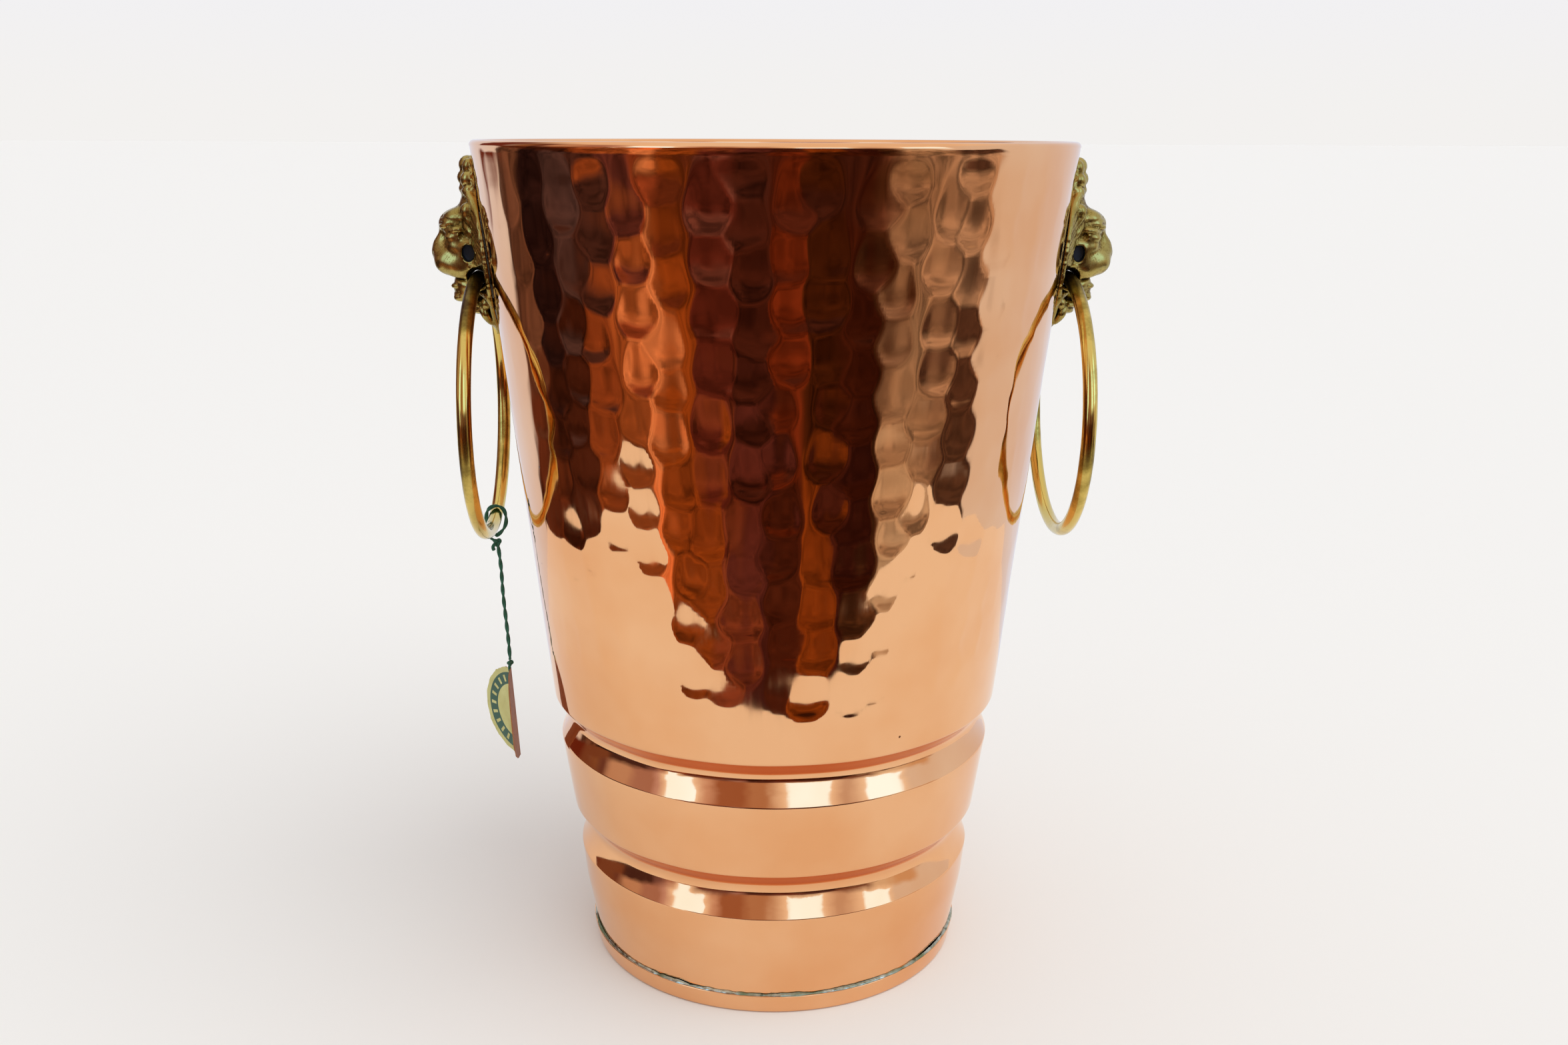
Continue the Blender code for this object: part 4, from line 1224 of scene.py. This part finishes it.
def steel_wire():
    """Drawn steel wire inside the rolled rim: plain grey with a little rust."""
    made, add, place = new_material("steel_wire", {"Metallic": 1.0, "Roughness": 0.38})
    damp = add("TexNoise", {"Vector": place, "Scale": 1 / (4 * MM), "Detail": 3.0})
    turning_to(add, "#A8A8AA", "#6B4A36", damp, 0.5, 0.75, to="Base Color")
    return made


def green_cotton():
    """Two-ply cotton string, dyed bottle green: soft fibres give it a faint sheen and a lighter fuzz."""
    made, add, place = new_material("green_cotton", {"Roughness": 0.85, "Sheen Weight": 0.35})
    fibre = add("TexNoise", {"Vector": place, "Scale": 1 / (0.35 * MM), "Detail": 4.0, "Roughness": 0.7})
    turning_to(add, "#0B3A28", "#1E6B4C", fibre, 0.3, 0.7, to="Base Color")
    add("Bump", {"Height": fibre, "Strength": 0.6, "Distance": 0.12 * MM}, to="Normal")
    return made


def printed_paper():
    """Varnished paper: a yellow-green ground, and near its edge a dark green band with plain pale dashes."""
    made, add, place = new_material("printed_paper", {"Roughness": 0.42})
    stain = add("TexNoise", {"Vector": place, "Scale": 1 / (7 * MM), "Detail": 3.0})
    ground = turning_to(add, "#CFCA84", "#BDB268", stain, 0.35, 0.7)
    # The band runs between two circles about the card's middle
    far = add("VectorMath", [place], operation="LENGTH").outputs["Value"]
    inner = add("Math", [far, 0.61 * TAG_RADIUS * MM], operation="GREATER_THAN")
    outer = add("Math", [far, 0.87 * TAG_RADIUS * MM], operation="LESS_THAN")
    band = add("Math", [inner, outer], operation="MULTIPLY")
    # The dashes follow the angle round the card, and stop short of the band's edges
    x, y, z = add("SeparateXYZ", [place]).outputs
    flat = add("CombineXYZ", {"X": x, "Y": y})
    level = add("VectorMath", [flat], operation="LENGTH").outputs["Value"]
    angle = add("Math", [z, level], operation="ARCTAN2")
    turns = add("Math", [angle, 22.0], operation="MULTIPLY")
    wave = add("Math", [turns], operation="SINE")
    dash = add("Math", [wave, 0.55], operation="GREATER_THAN")
    middle = add("Math", [far, 0.74 * TAG_RADIUS * MM, 0.075 * TAG_RADIUS * MM], operation="COMPARE")
    pale = add("Math", [dash, middle], operation="MULTIPLY")
    ink = add("Math", [band, pale], operation="SUBTRACT")
    colour = add("Mix", [ink, ground, "#2C5744"])
    fibre = add("TexNoise", {"Vector": place, "Scale": 1 / (1.2 * MM), "Detail": 4.0})
    flecks = add("MapRange", [fibre, 0.6, 0.8, 0.0, 0.35])
    add("Mix", [flecks, colour, "#8E8450"], to="Base Color")
    add("Bump", {"Height": stain, "Strength": 0.3, "Distance": 0.15 * MM}, to="Normal")
    return made


def card_back():
    """The tag's unprinted side: coppery brown card, slightly darker at its fibres."""
    made, add, place = new_material("card_back", {"Roughness": 0.6})
    fibre = add("TexNoise", {"Vector": place, "Scale": 1 / (1.0 * MM), "Detail": 4.0, "Roughness": 0.6})
    turning_to(add, "#B5794C", "#9A6038", fibre, 0.3, 0.7, to="Base Color")
    return made


# Floor, room and light

FLOOR_COLOUR = "#F5F3EE"
HORIZON_COLOUR = "#F3F1EF"
BACKDROP_COLOUR = "#F0F0F6"
CEILING_COLOUR = "#F3EFEC"
FILL_COLOUR = "#E0E0E3"
TABLE_LOW = (-0.45, -0.25)
TABLE_HIGH = (0.46, 0.26)
FLOOR_REACH = 40.0
LAMP_STRENGTH = 1.05
LAMP_SPREAD = math.radians(60)
LAMP_FROM = (0.6, -0.45, 1.0)

# What stands in the room that the metal mirrors, as runs of azimuth in degrees. Zero is the object's front
# and ninety its right. Each band is one range of height. The light wall shows before and after its things.
LIGHT_WALL = "#E4E9F6"
DAYLIGHT = (1.15, 1.85, 2.85, 1.0)
ROOM_AT_KNEE = (
    (-129, -108, "#6A5040"), (-106, -97, "#5A2C24"), (-95, -85, "#743D1D"), (-83, -60, "#A0684A"),
    (-57, -49, "#DC8455"), (-46, -32, "#874821"), (-30, -18, "#7A4230"), (-16, -4, "#552C2A"),
    (-2, 9, "#4A2418"), (11, 23, "#7C4018"), (25, 36, "#42201A"), (38, 44, "#543828"), (50, 62, "#BFB4A8"),
)
ROOM_AT_WAIST = (
    (-129, -110, "#5A3020"), (-108, -86, "#44241A"), (-84, -72, "#824728"), (-70, -58, "#9A5A34"),
    (-55, -49, "#EEA377"), (-46, -32, "#8C4A1E"), (-30, -18, "#562822"), (-16, -5, "#40201A"),
    (-3, 9, "#6A2E18"), (11, 22, "#40200E"), (24, 36, "#3E1C10"), (38, 43, "#4B3022"),
    (50, 64, "#A89484"), (71, 90, "#5A443C"),
)
ROOM_AT_CHEST = (
    (-125, -112, "#6A4C40"), (-110, -98, "#2A1A1C"), (-96, -86, "#4A3A40"), (-84, -72, "#4A302E"),
    (-70, -58, "#643938"), (-56, -46, "#8E4A30"), (-44, -32, "#62321F"), (-30, -18, "#6A4240"),
    (-16, -5, "#40221E"), (-3, 9, "#552A20"), (11, 36, "#3B1F19"), (38, 40, "#5A3A30"),
    (48, 66, "#A08C80"), (76, 88, "#B8A498"),
)
ROOM_AT_EYE = (
    (-142, -122, "#6A2E1D"), (-119, -99, "#7A4F3B"), (-95, -76, "#4A312F"), (-71, -69, "#7A5C60"),
    (-63, -61, "#B38F8C"), (-58, -52, "#FFFFFF"), (-47, -28, "#7A5856"), (-23, -21, "#A48588"),
    (-15, -5, "#603E3A"), (2, 11, "#7C534E"), (18, 30, "#5A4044"), (34, 50, "#7E5A4E"),
    (58, 66, "#E0DBD4"), (74, 84, "#D6BCA4"),
)
ROOM_ABOVE_EYE = (
    (-142, -124, "#6D342B"), (-119, -117, "#8F7A7A"), (-111, -109, "#8A6246"), (-103, -101, "#6E4840"),
    (-95, -84, "#C4A698"), (-79, -70, "#AE8A86"), (-66, -65, "#C8ACB4"), (-60, -42, "#FFFFFF"),
    (-37, -36, "#D2B4AC"), (-31, -20, "#A26F56"), (-14, -6, "#B8917A"), (6, 26, "#FFFFFF"),
    (33, 37, "#D2C2BE"), (49, 67, "#FFFFFF"),
)
# Where each band blends into the one below it, in degrees above the horizon
ROOM_STEPS = (
    (ROOM_AT_WAIST, (-26, -23)), (ROOM_AT_CHEST, (-17, -14)), (ROOM_AT_EYE, (-7, -5)),
    (ROOM_ABOVE_EYE, (1, 5)),
)
CEILING_STEP = (34, 48)
# How many degrees the light wall stands clear before a band's first thing and after its last
WALL_BEFORE = 2
WALL_AFTER = 4
# How coarse the room's clutter is, and how far it pushes what stands there out of line
CLUTTER = 9.0
PUSH = 0.09
# The height, as a share of straight up, at which the horizon's colour has become the backdrop's
HORIZON_ENDS = 0.16


def build_floor():
    """A pale floor. Metal mirrors only the part of it that a table top would be, and the room beyond."""
    made, _, _ = new_material("pale_floor", {"Base Color": linear(FLOOR_COLOUR), "Roughness": 0.7})
    (left, near), (right, far) = TABLE_LOW, TABLE_HIGH
    reach = FLOOR_REACH
    corners = [(left, near), (right, near), (right, far), (left, far)]
    outer = [(-reach, -reach), (reach, -reach), (reach, reach), (-reach, reach)]
    around = [(4 + i, 4 + (i + 1) % 4, (i + 1) % 4, i) for i in range(4)]
    parts = (("table_top", corners, [(0, 1, 2, 3)]), ("floor_around", corners + outer, around))
    for name, points, faces in parts:
        mesh = bpy.data.meshes.new(name)
        mesh.from_pydata([(x, y, 0) for x, y in points], [], faces)
        mesh.materials.append(made)
        piece = place_object(name, mesh)
        piece.visible_glossy = name == "table_top"


def room_stops(things):
    """A band's colours over the azimuth, from zero at the left of the back to one at its right."""
    stops = [(0.0, LIGHT_WALL), ((things[0][0] + 180 - WALL_BEFORE) / 360, LIGHT_WALL)]
    for start, end, code in things:
        stops += [((start + 180) / 360, code), ((end + 180) / 360, code)]
    return [*stops, ((things[-1][1] + 180 + WALL_AFTER) / 360, LIGHT_WALL)]


def turn_and_rise(add, way):
    """The azimuth of a direction, from zero to one, and its height in radians. Both are slightly uneven."""
    uneven = add("TexNoise", {"Vector": way, "Scale": CLUTTER, "Detail": 3.0}).outputs["Color"]
    centred = add("VectorMath", [uneven, (0.5, 0.5, 0.5)], operation="SUBTRACT")
    nudged = add("VectorMath", [centred, (PUSH, PUSH, PUSH), way], operation="MULTIPLY_ADD")
    x, y, z = add("SeparateXYZ", [nudged]).outputs
    front = add("Math", [y, -1.0], operation="MULTIPLY")
    turn = add("Math", [x, front], operation="ARCTAN2")
    share = add("Math", [turn, 1 / math.tau, 0.5], operation="MULTIPLY_ADD")
    return share, add("Math", [z], operation="ARCSINE")


def cluttered(add, way, room):
    """The room so far with light and shade on its furniture; the pale wall between stays plain."""
    clutter = add("TexNoise", {"Vector": way, "Scale": CLUTTER, "Detail": 5.0, "Roughness": 0.7})
    shade = add("MapRange", [clutter, 0.38, 0.62, 0.35, 1.45])
    shades = add("CombineXYZ", [shade, shade, shade])
    busy = add("MapRange", [room, 0.3, 0.7, 0.9, 0.0])
    return add("Mix", [busy, room, shades], blend_type="MULTIPLY")


def room_colour(add):
    """The room's colour in each direction, as polished metal mirrors it."""
    way = add("TexCoord").outputs["Generated"]
    share, rise = turn_and_rise(add, way)
    room = add("ValToRGB", {"Fac": share}, stops=room_stops(ROOM_AT_KNEE))
    for things, step in ROOM_STEPS:
        band = add("ValToRGB", {"Fac": share}, stops=room_stops(things))
        if things is ROOM_AT_EYE:
            room = cluttered(add, way, room)
        room = turning_to(add, room, band, rise, *map(math.radians, step))
    return turning_to(add, room, CEILING_COLOUR, rise, *map(math.radians, CEILING_STEP))


def build_world():
    """A pale backdrop for the camera, plain fill light for the floor, and a whole room for the metal."""
    world = bpy.data.worlds.new("room")
    world.use_nodes = True
    bpy.context.scene.world = world
    world.node_tree.nodes.clear()
    add = partial(add_node, world.node_tree)
    height = add("SeparateXYZ", [add("TexCoord").outputs["Generated"]]).outputs["Z"]
    lift = add("MapRange", [height, 0.0, HORIZON_ENDS], interpolation_type="SMOOTHSTEP")
    seen = add("Mix", [lift, HORIZON_COLOUR, BACKDROP_COLOUR])
    path = add("LightPath").outputs
    colour = add("Mix", [path["Is Camera Ray"], FILL_COLOUR, seen])
    colour = add("Mix", [path["Is Glossy Ray"], colour, room_colour(add)])
    # Only the windows, the whitest things, shine more than their colour says
    colour = turning_to(add, colour, DAYLIGHT, colour, 0.95, 1.0)
    background = add("Background", {"Color": colour})
    add("OutputWorld", {"Surface": background})


def build_light():
    """One large soft lamp from the right and in front, for the floor's shadow."""
    lamp = bpy.data.lights.new("soft_lamp", "SUN")
    lamp.energy = LAMP_STRENGTH
    lamp.angle = LAMP_SPREAD
    holder = place_object("soft_lamp", lamp)
    holder.rotation_euler = Vector(LAMP_FROM).to_track_quat("Z", "Y").to_euler()
    holder.visible_glossy = False


# The whole scene


def finish_fixings():
    """The wire and the fixings keep their modelled shape and get their metal."""
    plain = turned_brass()
    wire = steel_wire()
    for name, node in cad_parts.items():
        if name.endswith(("stud", "washer", "nut")) or name == "rim_wire":
            node.data.materials.clear()
            node.data.materials.append(wire if name == "rim_wire" else plain)


def main():
    bpy.context.scene.view_settings.view_transform = "Standard"
    build_camera()
    build_tag(green_cotton(), printed_paper(), card_back())
    build_floor()
    build_world()
    build_light()
    copper = polished_copper()
    build_shell(copper, satin_copper())
    build_pan(copper)
    build_solder(soft_solder())
    build_masks(cast_brass())
    build_rings(bar_brass())
    finish_fixings()


main()
